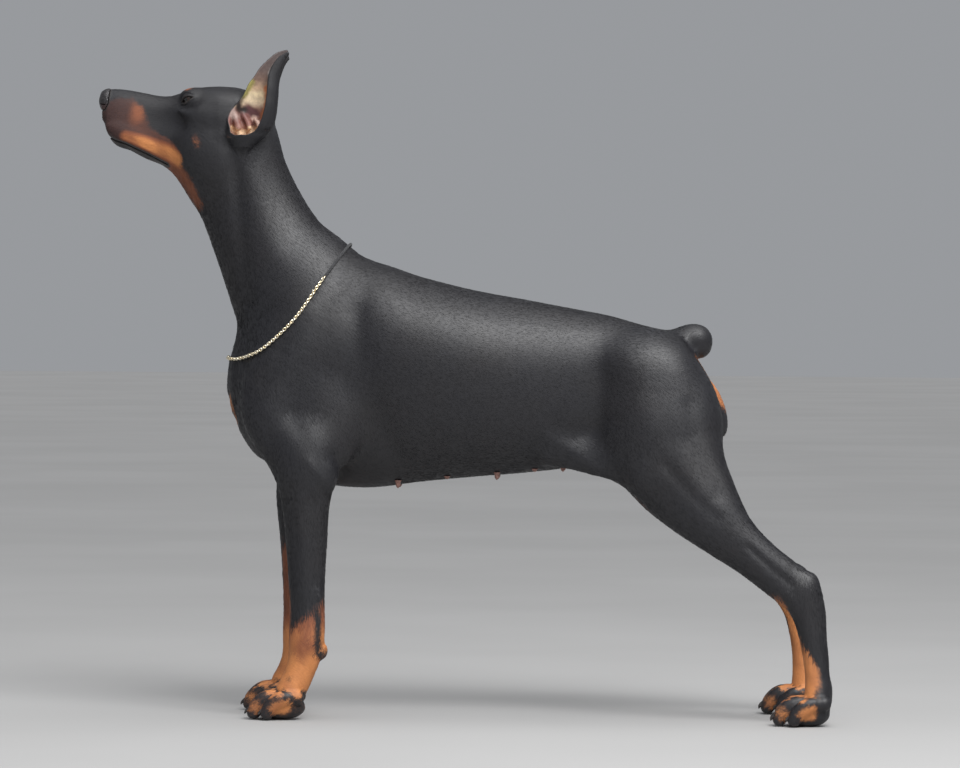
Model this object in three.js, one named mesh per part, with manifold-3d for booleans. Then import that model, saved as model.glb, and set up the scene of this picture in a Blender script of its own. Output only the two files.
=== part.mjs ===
// Doberman pinscher, life size, standing in show stance. Millimetres, +Z up.
// The dog faces -X and its left side is towards -Y. The origin is on the floor under its middle.
import * as THREE from 'three';
import { mergeVertices } from 'three/addons/utils/BufferGeometryUtils.js';
import Module from 'manifold-3d';

const wasm = await Module();
wasm.setup();

// Driving dimensions
const GAP = 0.3;
const COAT_BLACK = 0x1b1c20;
const COAT_RUST = 0x8a4a22;
const NOSE_BLACK = 0x121214;
const EYE_BROWN = 0x2a1508;
const CLAW_BLACK = 0x17120f;
const CHAIN_GOLD = 0xc9b27a;
const CORD_BLACK = 0x202022;

// Far legs stand a little further forward than near ones
const FORE_FAR_SHIFT = { foot: 21, leg: 23 };
const HIND_FAR_SHIFT = { foot: 14, leg: 11 };
const FOOT_TOP = [60, 120];
const SHIFT_SPAN = [300, 450];

// Cuts between the parts, as points and directions in the side view
const HEAD_CUT = { x: -345, z: 819, dx: 0.707, dz: 0.707 };
const NECK_CUT = { x: -262, z: 596, dx: 0.707, dz: 0.707 };
const ELBOW_Z = 352;
const CARPUS_Z = 122;
const THIGH_CUT = { x: 286, z: 398, dx: 0.983, dz: 0.184 };
const HOCK_CUT = { x: 474, z: 211, dx: 0.69, dz: 0.724 };
const HIND_PASTERN_CUT = { x: 522, z: 72, dx: 1, dz: 0 };

const EYE = { x: -409.5, y: 33.5, z: 914.5, radius: 11.5 };
const EYE_AXIS = new THREE.Vector3(-0.64, 0.76, 0.08).normalize();
const LID = { thick: 2.1, halfLength: 11.4, upper: 4.1, lower: 3.9, tilt: -0.36 };
const FORE_Y = 82;
const HIND_PAW_Y = 105;

// Head as upright sections: x, top, bottom, half width, egg, squareness
const HEAD = [
  [-545, 927, 884, 15, -0.10, 2.3],
  [-537, 932, 865, 21, -0.12, 2.4],
  [-524, 933, 852, 24.5, -0.16, 2.5],
  [-505, 931, 841, 26.5, -0.18, 2.5],
  [-482, 927, 829, 28.5, -0.16, 2.5],
  [-460, 923, 820, 31.5, -0.10, 2.4],
  [-443, 923, 809, 36, -0.04, 2.3],
  [-424, 929, 788, 42, 0.04, 2.3],
  [-404, 935, 768, 46, 0.12, 2.3],
  [-380, 934.5, 770, 49, 0.16, 2.3],
  [-350, 926.5, 790, 49, 0.12, 2.2],
  [-322, 917, 822, 42, 0.05, 2.1],
  [-298, 903, 850, 26, 0, 2],
];

// Torso as upright sections
const TORSO = [
  [-353, 531, 487, 26, 0, 2],
  [-347, 552, 450, 44, 0, 2],
  [-333, 580, 417, 58, 0, 2.1],
  [-304, 618, 382, 74, 0.03, 2.1],
  [-255, 640, 355, 82, 0.10, 2.1],
  [-200, 660, 343, 88, 0.16, 2.1],
  [-138, 676, 340, 96, 0.20, 2.1],
  [-68, 656, 349, 102, 0.16, 2.1],
  [10, 637, 357, 100, 0.10, 2.2],
  [90, 623, 364, 90, 0.06, 2.2],
  [155, 611, 373, 79, 0.04, 2.3],
  [214, 600, 395, 72, 0.04, 2.3],
  [273, 584, 424, 66, 0.04, 2.2],
  [315, 574, 438, 54, 0.04, 2.1],
  [342, 552, 448, 40, 0, 2],
];

// Limbs as stations along a bent axis: x, z, y, half depth, half width
const NECK = [
  [-351, 880, 0, 52, 44],
  [-350, 842, 0, 70, 49],
  [-340, 798, 0, 74, 50],
  [-320, 752, 0, 76, 51],
  [-298, 706, 0, 81, 56],
  [-276, 667, 0, 89, 64],
  [-251, 632, 0, 102, 73],
  [-230, 600, 0, 110, 80],
  [-212, 560, 0, 108, 84],
];
const SHOULDER = [
  [-176, 636, 38, 22, 13],
  [-204, 594, 55, 42, 22],
  [-240, 540, 67, 56, 25],
  [-270, 482, 72, 56, 25],
  [-276, 446, 75, 50, 26],
  [-256, 408, 79, 46, 27],
  [-233, 376, 82, 41, 28],
];
const FORELEG = [
  [-230, 400, FORE_Y, 40, 28],
  [-231.5, 352, FORE_Y, 40.5, 28],
  [-231.5, 308, FORE_Y, 35, 26],
  [-230, 262, FORE_Y, 31.5, 23.5],
  [-229.5, 216, FORE_Y, 28.5, 21],
  [-229, 177, FORE_Y, 27, 19.5],
  [-228.5, 147, FORE_Y, 27, 21],
  [-229, 120, FORE_Y, 27, 22],
  [-231, 98, FORE_Y, 25, 20.5],
  [-236, 78, FORE_Y, 22.5, 19.5],
  [-243, 60, FORE_Y, 22, 21],
  [-252, 42, FORE_Y, 22.5, 24],
];
const HINDLEG = [
  [278, 522, 44, 50, 30],
  [281, 490, 55, 70, 42],
  [288, 440, 61, 85, 46],
  [301, 404, 66, 81, 43],
  [320, 366, 74, 71, 39],
  [347, 329, 82, 59, 34],
  [370, 302, 87, 48.5, 30],
  [394, 277, 91, 40, 26],
  [420, 255, 94, 34.5, 23],
  [446, 234, 96, 32.5, 21],
  [472, 214, 97, 32.5, 19],
  [496.5, 194, 98, 31.5, 19],
  [510.5, 163, 99, 25.5, 18.5],
  [516.5, 128, 101, 21, 17],
  [521, 98, 102, 19.3, 16.5],
  [523, 74, 103, 18.5, 17],
  [525, 54, 104, 20.5, 20],
  [524, 38, HIND_PAW_Y, 21, 24],
];
const TAIL = [
  [300, 546, 0, 24, 24],
  [326, 561, 0, 25, 23],
  [342, 564, 0, 24.5, 22],
  [346, 556, 0, 20.5, 20],
];
const FLANK = [
  [136, 400, 50, 24, 14],
  [178, 393, 58, 26, 13],
  [220, 388, 64, 31, 15],
  [262, 380, 70, 34, 20],
];

// Muscles and bones under the skin: centre, radii, pitch in the side view, blend
const LUMPS = [
  { name: 'forechest', c: [-333, 0, 494], r: [20, 34, 44], pitch: -6, blend: 18 },
  { name: 'breast muscle', c: [-298, 36, 428], r: [32, 28, 50], pitch: 24, blend: 20 },
  { name: 'triceps', c: [-204, 72, 442], r: [48, 27, 72], pitch: 14, blend: 22 },
  { name: 'elbow', c: [-201, 90, 366], r: [15, 14, 22], pitch: 8, blend: 16 },
  { name: 'haunch', c: [266, 50, 526], r: [60, 30, 36], pitch: -12, blend: 34 },
  { name: 'stifle', c: [274, 83, 366], r: [26, 20, 34], pitch: 40, blend: 20 },
  { name: 'buttock', c: [352, 42, 462], r: [26, 30, 58], pitch: 16, blend: 24 },
  { name: 'vulva', c: [366, 0, 464], r: [20, 19, 48], pitch: 20, blend: 22 },
  { name: 'hock point', c: [508.5, 98, 206], r: [13, 12, 18], pitch: -30, blend: 14 },
  { name: 'carpal pad', c: [-205.5, FORE_Y, 101], r: [8.5, 9.5, 12.5], pitch: -8, blend: 5 },
];
const HEAD_LUMPS = [
  { name: 'cheek bone', c: [-398, 41, 895], r: [42, 14, 14], pitch: -8, blend: 16 },
  { name: 'brow', c: [-411, 27, 925], r: [16, 12, 8], pitch: 8, blend: 10 },
  { name: 'temple', c: [-372, 30, 912], r: [40, 20, 18], pitch: 0, blend: 18 },
  { name: 'jaw muscle', c: [-392, 34, 846], r: [30, 17, 40], pitch: 26, blend: 20 },
  { name: 'occiput', c: [-309, 0, 906], r: [22, 16, 14], pitch: -28, blend: 16 },
  { name: 'upper lip', c: [-497, 21, 861], r: [44, 7.5, 11], pitch: -22, blend: 9 },
  { name: 'chin', c: [-520, 0, 855], r: [16, 15, 8], pitch: -26, blend: 8 },
  { name: 'nose pad', c: [-541, 0, 916], r: [10, 17, 15.5], pitch: -8, blend: 7 },
];
const HEAD_HOLLOWS = [
  { name: 'eye hollow', c: [-430, 49, 912], r: [22, 12, 12], pitch: -10, blend: 16 },
  { name: 'cheek hollow', c: [-458, 47, 888], r: [34, 12, 16], pitch: -14, blend: 18 },
];

// Toes of a paw: sideways offset, forward offset, size
const TOES = [
  { side: -25, forward: -21, size: 0.96 },
  { side: -10, forward: 0, size: 1 },
  { side: 10, forward: 0, size: 1 },
  { side: 25, forward: -21, size: 0.96 },
];
const TOE_STRIDE = 34;
const FORE_PAW = { x: -271, y: FORE_Y, shift: FORE_FAR_SHIFT };
const HIND_PAW = { x: 503, y: HIND_PAW_Y, shift: HIND_FAR_SHIFT };

// Collar route in the side view, front to nape, and thickness of the chain
const COLLAR = [
  [-362, 533], [-335, 531], [-303, 542], [-273, 566], [-244, 597], [-214, 642], [-172, 706],
];
const CHAIN_RADIUS = 2.6;

// Smooth interpolation along a list of stations
function spline(stations, index, t, column) {
  const at = (i) => stations[Math.min(Math.max(i, 0), stations.length - 1)][column];
  const [a, b, c, d] = [at(index - 1), at(index), at(index + 1), at(index + 2)];
  return 0.5 * (2 * b + (c - a) * t + (2 * a - 5 * b + 4 * c - d) * t * t
    + (3 * b - a - 3 * c + d) * t * t * t);
}

function smoothUnion(a, b, blend) {
  const h = Math.max(blend - Math.abs(a - b), 0);
  return Math.min(a, b) - h * h / (4 * blend);
}

function smoothCarve(a, b, blend) {
  return -smoothUnion(-a, b, blend);
}

// Body made of upright sections, each a rounded box with its own height and width
function sectionBody(stations) {
  const first = stations[0][0];
  const last = stations[stations.length - 1][0];
  const shape = (x, y, z) => {
    let i = 0;
    while (i < stations.length - 2 && stations[i + 1][0] < x) {
      i += 1;
    }
    const t = (x - stations[i][0]) / (stations[i + 1][0] - stations[i][0]);
    const value = (column) => spline(stations, i, t, column);
    const top = value(1);
    const bottom = value(2);
    const half = (top - bottom) / 2;
    const e = (z - (top + bottom) / 2) / half;
    const egg = 1 + value(4) * Math.max(-1.2, Math.min(1.2, e));
    const l = y / (value(3) * egg);
    const n = value(5);
    return (Math.abs(e) ** n + Math.abs(l) ** n) ** (1 / n) - 1;
  };
  return (x, y, z) => {
    const inside = Math.min(Math.max(x, first + 0.01), last - 0.51);
    const g = shape(inside, y, z);
    const step = 0.5;
    const gx = (shape(inside + step, y, z) - g) / step * Math.exp(-2 * Math.max(g, 0));
    const gy = (shape(inside, y + step, z) - g) / step;
    const gz = (shape(inside, y, z + step) - g) / step;
    const distance = g / Math.max(Math.hypot(gx, gy, gz), 0.002);
    return x === inside ? distance : Math.hypot(Math.max(distance, 0), x - inside);
  };
}

// Limb of oval sections across a bent axis in the side view
function limb(stations, pieces = 5) {
  const rows = [];
  for (let i = 0; i < stations.length - 1; i += 1) {
    for (let k = 0; k < pieces; k += 1) {
      rows.push([0, 1, 2, 3, 4].map((column) => spline(stations, i, k / pieces, column)));
    }
  }
  rows.push(stations[stations.length - 1]);
  return (x, y, z) => {
    let best = Infinity;
    for (let i = 0; i < rows.length - 1; i += 1) {
      const a = rows[i];
      const b = rows[i + 1];
      const ux = b[0] - a[0];
      const uz = b[1] - a[1];
      const length = Math.hypot(ux, uz);
      const along = ((x - a[0]) * ux + (z - a[1]) * uz) / (length * length);
      const t = Math.min(Math.max(along, 0), 1);
      const e = Math.hypot(x - a[0] - ux * t, z - a[1] - uz * t) / (a[3] + (b[3] - a[3]) * t);
      const l = (y - a[2] - (b[2] - a[2]) * t) / (a[4] + (b[4] - a[4]) * t);
      const g = Math.hypot(e, l);
      const slope = Math.hypot(e / (a[3] + (b[3] - a[3]) * t), l / (a[4] + (b[4] - a[4]) * t));
      const distance = slope > 1e-9 ? (g - 1) * g / slope : -Math.min(a[3], a[4]);
      best = Math.min(best, distance);
    }
    return best;
  };
}

function ellipsoid(c, r, pitch) {
  const cos = Math.cos(THREE.MathUtils.degToRad(pitch));
  const sin = Math.sin(THREE.MathUtils.degToRad(pitch));
  return (x, y, z) => {
    const dx = x - c[0];
    const dz = z - c[2];
    const a = (dx * cos + dz * sin) / r[0];
    const b = (y - c[1]) / r[1];
    const h = (dz * cos - dx * sin) / r[2];
    const k = Math.hypot(a, b, h);
    const slope = Math.hypot(a / r[0], b / r[1], h / r[2]);
    return slope > 1e-9 ? k * (k - 1) / slope : -Math.min(...r);
  };
}

function ease(value, [low, high]) {
  const t = Math.min(Math.max((value - low) / (high - low), 0), 1);
  return t * t * (3 - 2 * t);
}

// How much further forward a leg stands at a height, on its side of the body
function farShift(z, side, shift) {
  const near = shift.leg + (shift.foot - shift.leg) * (1 - ease(z, FOOT_TOP));
  return side > 0 ? near * (1 - ease(z, SHIFT_SPAN)) : 0;
}

const headBody = sectionBody(HEAD);
const torsoBody = sectionBody(TORSO);
const neckBody = limb(NECK);
const shoulderBody = limb(SHOULDER);
const foreBody = limb(FORELEG);
const hindBody = limb(HINDLEG);
const tailBody = limb(TAIL);
const flankBody = limb(FLANK);
const lumps = LUMPS.map((form) => ({ ...form, at: ellipsoid(form.c, form.r, form.pitch) }));
const headLumps = HEAD_LUMPS.map((form) => ({ ...form, at: ellipsoid(form.c, form.r, form.pitch) }));
const headHollows = HEAD_HOLLOWS.map((form) => ({
  ...form,
  at: ellipsoid(form.c, form.r, form.pitch),
}));

// Toes and pads of one paw around its own centre, measured forward from it
function pawForms(paw) {
  const forms = [];
  for (const toe of TOES) {
    const y = paw.y + toe.side;
    const x = paw.x - toe.forward;
    const s = toe.size;
    forms.push(limb([
      [x + 8, 34, paw.y + toe.side * 0.75, 12 * s, 10 * s],
      [x - 15, 31.5, y, 12.5 * s, 9.4 * s],
      [x - 29, 21, y, 12 * s, 9.2 * s],
      [x - 35, 10.5, y, 10.5 * s, 8.8 * s],
    ], 3));
  }
  return forms;
}
const forePaw = pawForms(FORE_PAW);
const hindPaw = pawForms(HIND_PAW);
const forePad = ellipsoid([FORE_PAW.x + 5, FORE_Y, 18], [36, 26, 19], 0);
const hindPad = ellipsoid([HIND_PAW.x + 5, HIND_PAW_Y, 18], [34, 26, 20], 0);

function headField(x, y, z) {
  const side = Math.abs(y);
  let d = smoothUnion(headBody(x, y, z), neckBody(x, y, z), 26);
  for (const form of headLumps) {
    d = smoothUnion(d, form.at(x, form.c[1] === 0 ? y : side, z), form.blend);
  }
  for (const form of headHollows) {
    d = smoothCarve(d, form.at(x, side, z), form.blend);
  }
  return d;
}

function trunkField(x, y, z) {
  const side = Math.abs(y);
  let d = smoothUnion(torsoBody(x, y, z), neckBody(x, y, z), 26);
  d = smoothUnion(d, shoulderBody(x, side, z), 30);
  d = smoothUnion(d, hindBody(x + farShift(z, y, HIND_FAR_SHIFT), side, z), 34);
  d = smoothUnion(d, flankBody(x, side, z), 22);
  d = smoothUnion(d, foreBody(x + farShift(z, y, FORE_FAR_SHIFT), side, z), 26);
  for (const form of lumps) {
    d = smoothUnion(d, form.at(x, form.c[1] === 0 ? y : side, z), form.blend);
  }
  return d;
}

function legField(body, paws, pad, shift) {
  const legLumps = lumps.filter((form) => (shift === FORE_FAR_SHIFT ? form.c[0] < 0 : form.c[0] > 0));
  return (x, y, z) => {
    const px = x + farShift(z, y, shift);
    const side = Math.abs(y);
    let d = body(px, side, z);
    for (const form of legLumps) {
      d = smoothUnion(d, form.at(px, form.c[1] === 0 ? y : side, z), form.blend);
    }
    if (z < 90) {
      for (const toe of paws) {
        d = smoothUnion(d, toe(px, side, z), 5);
      }
      d = smoothUnion(d, pad(px, side, z), 8);
    }
    return d;
  };
}
const foreField = legField(foreBody, forePaw, forePad, FORE_FAR_SHIFT);
const hindField = legField(hindBody, hindPaw, hindPad, HIND_FAR_SHIFT);

// Distance from a point inside the body to its surface along a direction
function reach(field, from, direction, limit, offset) {
  let far = 0;
  let value = field(from.x, from.y, from.z) - offset;
  const at = (t) => field(from.x + direction.x * t, from.y + direction.y * t,
    from.z + direction.z * t) - offset;
  while (value < 0 && far < limit) {
    far += Math.max(1.5, -value * 0.6);
    value = at(Math.min(far, limit));
  }
  if (far >= limit && value < 0) {
    return limit;
  }
  let near = Math.max(far - 12, 0);
  while (at(near) > 0 && near > 0) {
    near = Math.max(near - 4, 0);
  }
  for (let i = 0; i < 16; i += 1) {
    const middle = (near + far) / 2;
    if (at(middle) < 0) {
      near = middle;
    } else {
      far = middle;
    }
  }
  return (near + far) / 2;
}

// Closed skin around a line of sections, each seen from a point on the axis with its rays leaning
function wrap(sections, sides, field, { limit = () => 400, offset = 0, warp = 0 } = {}) {
  const rings = sections.length - 1;
  const geometry = new THREE.SphereGeometry(1, sides, rings);
  const position = geometry.attributes.position;
  const direction = new THREE.Vector3();
  for (let i = 0; i < position.count; i += 1) {
    const polar = Math.acos(THREE.MathUtils.clamp(position.getY(i), -1, 1));
    const ring = Math.round(polar / Math.PI * rings);
    const section = sections[ring];
    const turn = Math.atan2(position.getZ(i), position.getX(i));
    const angle = turn - warp * Math.sin(turn);
    const across = Math.cos(section.lean);
    direction.set(0, 0, 0);
    direction.addScaledVector(section.u, across * Math.cos(angle));
    direction.addScaledVector(section.v, across * Math.sin(angle));
    direction.addScaledVector(section.w, Math.sin(section.lean));
    direction.y = Math.abs(direction.y) < 1e-9 ? 0 : direction.y;
    let length = 0;
    if (!section.flat) {
      const most = limit(section.at, direction);
      length = reach(field, section.at, direction, most, offset);
    }
    position.setXYZ(i, section.at.x + direction.x * length, section.at.y + direction.y * length,
      section.at.z + direction.z * length);
  }
  return outward(clean(geometry));
}

function clean(geometry) {
  const bare = geometry.clone();
  bare.deleteAttribute('normal');
  bare.deleteAttribute('uv');
  return mergeVertices(bare, 1e-3);
}

// Turns a closed skin so that its faces point out
function outward(geometry) {
  const p = geometry.attributes.position;
  const index = geometry.index.array;
  let volume = 0;
  const a = new THREE.Vector3();
  const b = new THREE.Vector3();
  const c = new THREE.Vector3();
  for (let i = 0; i < index.length; i += 3) {
    a.fromBufferAttribute(p, index[i]);
    b.fromBufferAttribute(p, index[i + 1]);
    c.fromBufferAttribute(p, index[i + 2]);
    volume += a.dot(b.cross(c));
  }
  if (volume < 0) {
    for (let i = 0; i < index.length; i += 3) {
      [index[i + 1], index[i + 2]] = [index[i + 2], index[i + 1]];
    }
  }
  return geometry;
}

function toSolid(geometry) {
  const g = outward(clean(geometry));
  const solid = new wasm.Manifold(new wasm.Mesh({
    numProp: 3,
    vertProperties: new Float32Array(g.attributes.position.array),
    triVerts: new Uint32Array(g.index.array),
  }));
  return solid;
}

// Largest closed surface of a solid, as a geometry
function toGeometry(solid) {
  let best = solid;
  for (const piece of solid.decompose()) {
    if (best === solid || piece.volume() > best.volume()) {
      best = piece;
    }
  }
  const mesh = best.getMesh();
  const geometry = new THREE.BufferGeometry();
  geometry.setAttribute('position', new THREE.BufferAttribute(mesh.vertProperties, 3));
  geometry.setIndex(new THREE.BufferAttribute(mesh.triVerts, 1));
  return geometry;
}

// Large block on one side of a cut, for trimming; the direction runs along the cut
function halfSpace(cut, side, gap) {
  const size = 900;
  const block = new THREE.BoxGeometry(size, size, size);
  block.translate(0, 0, side * (size / 2 + gap / 2));
  block.rotateY(-Math.atan2(cut.dz, cut.dx));
  block.translate(cut.x, 0, cut.z);
  return toSolid(block);
}

function block(x0, x1, y0, y1, z0, z1) {
  const geometry = new THREE.BoxGeometry(x1 - x0, y1 - y0, z1 - z0);
  geometry.translate((x0 + x1) / 2, (y0 + y1) / 2, (z0 + z1) / 2);
  return toSolid(geometry);
}

// Outline in the side view, pushed out sideways between two widths
function slab(points, y0, y1) {
  const curve = new THREE.SplineCurve(points.map(([x, z]) => new THREE.Vector2(x, z)));
  const shape = new THREE.Shape(curve.getPoints(points.length * 2));
  const geometry = new THREE.ExtrudeGeometry(shape, { depth: y1 - y0, bevelEnabled: false });
  geometry.rotateX(Math.PI / 2);
  geometry.translate(0, y1, 0);
  return toSolid(geometry);
}

const vec = (x, y, z) => new THREE.Vector3(x, y, z);
const SIDEWAYS = vec(0, 1, 0);

// Section across a line in the side view, at a point, with its rays leaning by some degrees
function section(x, y, z, dx, dz, lean = 0, flat = false) {
  return {
    at: vec(x, y, z),
    u: vec(dx, 0, dz).normalize(),
    v: SIDEWAYS,
    w: vec(dz, 0, -dx).normalize(),
    lean: THREE.MathUtils.degToRad(lean),
    flat,
  };
}

function planeLimit(cut, margin, most = 400) {
  return (from, direction) => {
    const normal = vec(-cut.dz, 0, cut.dx).normalize();
    const gap = (cut.x - from.x) * normal.x + (cut.z - from.z) * normal.z;
    const speed = direction.dot(normal);
    const toPlane = (gap + Math.sign(gap) * margin) / speed;
    return toPlane > 0 ? Math.min(toPlane, most) : most;
  };
}

const parts = [];
function add(name, geometry, colour, roughness = 0.6, metalness = 0) {
  const material = new THREE.MeshStandardMaterial({ color: colour, roughness, metalness });
  const mesh = new THREE.Mesh(geometry, material);
  mesh.name = name;
  parts.push(mesh);
}

const SIDES = [['left', -1], ['right', 1]];
const END_LEANS = [0, 22, 45, 67];

// Sections along a line in the side view, fanned out to a round end at the front and the back
function roundedSections(front, back, rings, dx, dz) {
  const list = [];
  for (const lean of END_LEANS) {
    list.push(section(front.x, 0, front.z, dx, dz, lean - 90));
  }
  for (let i = 0; i <= rings; i += 1) {
    const x = THREE.MathUtils.lerp(front.x, back.x, i / rings);
    const z = THREE.MathUtils.lerp(front.z, back.z, i / rings);
    list.push(section(x, 0, z, dx, dz, 0));
  }
  for (const lean of END_LEANS.slice(1)) {
    list.push(section(back.x, 0, back.z, dx, dz, lean));
  }
  list.push(section(back.x, 0, back.z, dx, dz, 90));
  return list;
}

// Head
const HEAD_FRONT = { x: -522, z: 895 };
const HEAD_BACK = { x: -372, z: 868 };
const headSections = (rings) => roundedSections(HEAD_FRONT, HEAD_BACK, rings, 0.15, 1);

const headLimit = planeLimit(HEAD_CUT, 45);
const headWrap = wrap(headSections(16), 32, headField, { limit: headLimit });
const headShell = toSolid(wrap(headSections(16), 32, headField, { limit: headLimit, offset: GAP }));
const headInner = toSolid(wrap(headSections(6), 16, headField, { limit: headLimit, offset: -4 }));

function eyeball(side, radius) {
  const ball = new THREE.SphereGeometry(radius, 14, 8);
  ball.translate(EYE.x, side * EYE.y, EYE.z);
  return ball;
}

// Almond between the lids, pushed through them along the eye's axis
function lidOpening(side) {
  const points = [];
  const steps = 12;
  for (let i = 0; i <= steps; i += 1) {
    const t = i / steps * 2 - 1;
    points.push(new THREE.Vector2(t * LID.halfLength, LID.upper * (1 - t * t) ** 0.9));
  }
  for (let i = 1; i < steps; i += 1) {
    const t = 1 - i / steps * 2;
    points.push(new THREE.Vector2(t * LID.halfLength, -LID.lower * (1 - t * t) ** 0.9));
  }
  const depth = EYE.radius * 2;
  const prism = new THREE.ExtrudeGeometry(new THREE.Shape(points), { depth, bevelEnabled: false });
  prism.translate(0, 0, 2);
  const along = vec(-EYE_AXIS.y, EYE_AXIS.x, LID.tilt);
  along.addScaledVector(EYE_AXIS, -along.dot(EYE_AXIS)).normalize();
  const up = along.clone().cross(EYE_AXIS).normalize();
  up.multiplyScalar(Math.sign(up.z));
  const position = prism.attributes.position;
  for (let i = 0; i < position.count; i += 1) {
    const p = vec(EYE.x, EYE.y, EYE.z).addScaledVector(along, position.getX(i))
      .addScaledVector(up, position.getY(i)).addScaledVector(EYE_AXIS, position.getZ(i));
    position.setXYZ(i, p.x, side * p.y, p.z);
  }
  return toSolid(prism);
}

const MOUTH = [
  [-556, 876], [-545, 870], [-535, 861], [-522, 854.5], [-508, 850], [-494, 843.5], [-478, 836],
  [-462, 828], [-446, 820],
];
const MOUTH_HALF_GAP = 0.7;
const NOSE_CUT = [[-600, 960], [-538, 960], [-534, 931], [-536, 910], [-541, 901], [-600, 899]];

const NOSTRIL = { x: -550, y: 8.5, z: 915, size: [7, 3.6, 4.6], turn: 0.5 };
function nostril(side) {
  const hole = new THREE.SphereGeometry(1, 10, 8);
  hole.scale(...NOSTRIL.size);
  hole.rotateZ(-side * NOSTRIL.turn);
  hole.translate(NOSTRIL.x, side * NOSTRIL.y, NOSTRIL.z);
  return toSolid(hole);
}

function mouthSlit() {
  const upper = MOUTH.map(([x, z]) => [x, z + MOUTH_HALF_GAP]);
  const lower = MOUTH.map(([x, z]) => [x, z - MOUTH_HALF_GAP]).reverse();
  return slab([...upper, ...lower], -80, 80).subtract(headInner);
}

function nosePrism(grow) {
  const points = NOSE_CUT.map(([x, z]) => new THREE.Vector2(x + grow, z - grow));
  const shape = new THREE.Shape(points);
  const geometry = new THREE.ExtrudeGeometry(shape, { depth: 80, bevelEnabled: false });
  geometry.rotateX(Math.PI / 2);
  geometry.translate(0, 40, 0);
  return toSolid(geometry);
}

let headSolid = toSolid(headWrap);
const noseSolid = headSolid.intersect(nosePrism(-GAP / 2))
  .subtract(nostril(-1)).subtract(nostril(1));
headSolid = headSolid.subtract(nosePrism(GAP / 2)).intersect(halfSpace(HEAD_CUT, 1, GAP));
headSolid = headSolid.subtract(mouthSlit());

// Neck, in parallel sections between its two cuts
function neckSections() {
  const rings = 9;
  const list = [];
  for (let i = 0; i <= rings; i += 1) {
    const t = i / rings;
    const x = THREE.MathUtils.lerp(HEAD_CUT.x, NECK_CUT.x, t);
    const z = THREE.MathUtils.lerp(HEAD_CUT.z - GAP, NECK_CUT.z + GAP, t);
    if (i === 0) {
      list.push(section(x, 0, z, 1, 1, 0, true));
    }
    list.push(section(x, 0, z, 1, 1, 0));
    if (i === rings) {
      list.push(section(x, 0, z, 1, 1, 0, true));
    }
  }
  return list;
}
const neckField = (x, y, z) => Math.min(headField(x, y, z), trunkField(x, y, z));
add('neck', wrap(neckSections(), 28, neckField), COAT_BLACK);
const neckShell = toSolid(wrap(neckSections(), 28, neckField, { offset: GAP }));

// Ears: a rolled leaf, base to tip; its open side runs from one angle to another round its axis
const EAR = [
  { x: -334, y: 50, z: 846, width: 18, depth: 11, lean: 0, open: [1.75, 1.85] },
  { x: -328, y: 52, z: 859, width: 29, depth: 15, lean: 0, open: [1.75, 1.85] },
  { x: -325, y: 52.5, z: 866, width: 32, depth: 16.5, lean: 0, open: [1.22, 2.45] },
  { x: -320, y: 54, z: 876, width: 34.5, depth: 19, lean: 0, open: [1.10, 2.75] },
  { x: -317, y: 56, z: 893, width: 35.5, depth: 20, lean: 0.04, open: [1.00, 3.45] },
  { x: -311.5, y: 58, z: 908, width: 32, depth: 18.5, lean: 0.08, open: [1.00, 3.62] },
  { x: -306, y: 59, z: 921, width: 27.5, depth: 16, lean: 0.13, open: [1.06, 3.66] },
  { x: -302, y: 60, z: 934, width: 24.6, depth: 14, lean: 0.20, open: [1.13, 3.66] },
  { x: -297.2, y: 60, z: 945.4, width: 20.4, depth: 12, lean: 0.28, open: [1.26, 3.68] },
  { x: -292.2, y: 60.5, z: 956.8, width: 17.4, depth: 9.5, lean: 0.40, open: [1.38, 3.70] },
  { x: -284.2, y: 61, z: 968.2, width: 13.6, depth: 7, lean: 0.60, open: [1.50, 3.75] },
  { x: -275.2, y: 61, z: 979, width: 9.8, depth: 4.8, lean: 0.85, open: [1.50, 3.80] },
  { x: -264.5, y: 61, z: 985.2, width: 4.8, depth: 2.6, lean: 1.2, open: [1.50, 3.80] },
];
const EAR_WALL = 3.4;
const EAR_THINNEST = 2.4;
const EAR_FLOOR = 861;
const EAR_FAR_SHIFT = 10;

// Solid through a list of ear rows, its outline in each row given as places across and out
function earLoft(rows, side, sides, outline) {
  const rings = rows.length + 1;
  const geometry = new THREE.SphereGeometry(1, sides, rings);
  const position = geometry.attributes.position;
  const shift = side > 0 ? EAR_FAR_SHIFT : 0;
  for (let i = 0; i < position.count; i += 1) {
    const ring = Math.round(Math.acos(THREE.MathUtils.clamp(position.getY(i), -1, 1)) / Math.PI * rings);
    const row = rows[THREE.MathUtils.clamp(ring - 1, 0, rows.length - 1)];
    const pole = ring === 0 || ring === rings;
    const turn = Math.atan2(position.getZ(i), position.getX(i)) / (2 * Math.PI);
    const step = (Math.round(turn * sides) + sides) % sides;
    const [u, v] = outline(row, step / sides, pole);
    const beyond = ring === rings ? 1 : 0;
    const cos = Math.cos(row.lean);
    const sin = Math.sin(row.lean);
    position.setXYZ(i, row.x - shift + u * cos + beyond * sin, side * (row.y + v),
      row.z - u * sin + beyond * cos);
  }
  return toSolid(geometry);
}

function earWall(row) {
  return THREE.MathUtils.clamp(row.width * 0.3, EAR_THINNEST, EAR_WALL);
}

// Outline of the rolled leaf: out along its back and in again along its hollow
function leafOutline(row, t, pole) {
  const [start, end] = row.open;
  const turn = 2 * Math.PI - end + start;
  const wall = earWall(row);
  const outer = t < 0.5;
  const last = 0.45;
  const share = outer ? t / last : (0.5 + last - t) / last;
  const angle = end + turn * (pole ? 0.5 : THREE.MathUtils.clamp(share, 0, 1));
  let inset = outer ? 0 : wall;
  if (pole) {
    inset = wall / 2;
  }
  return [Math.max(row.width - inset, row.width * 0.3) * Math.cos(angle),
    Math.max(row.depth - inset, row.depth * 0.3) * Math.sin(angle)];
}

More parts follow.
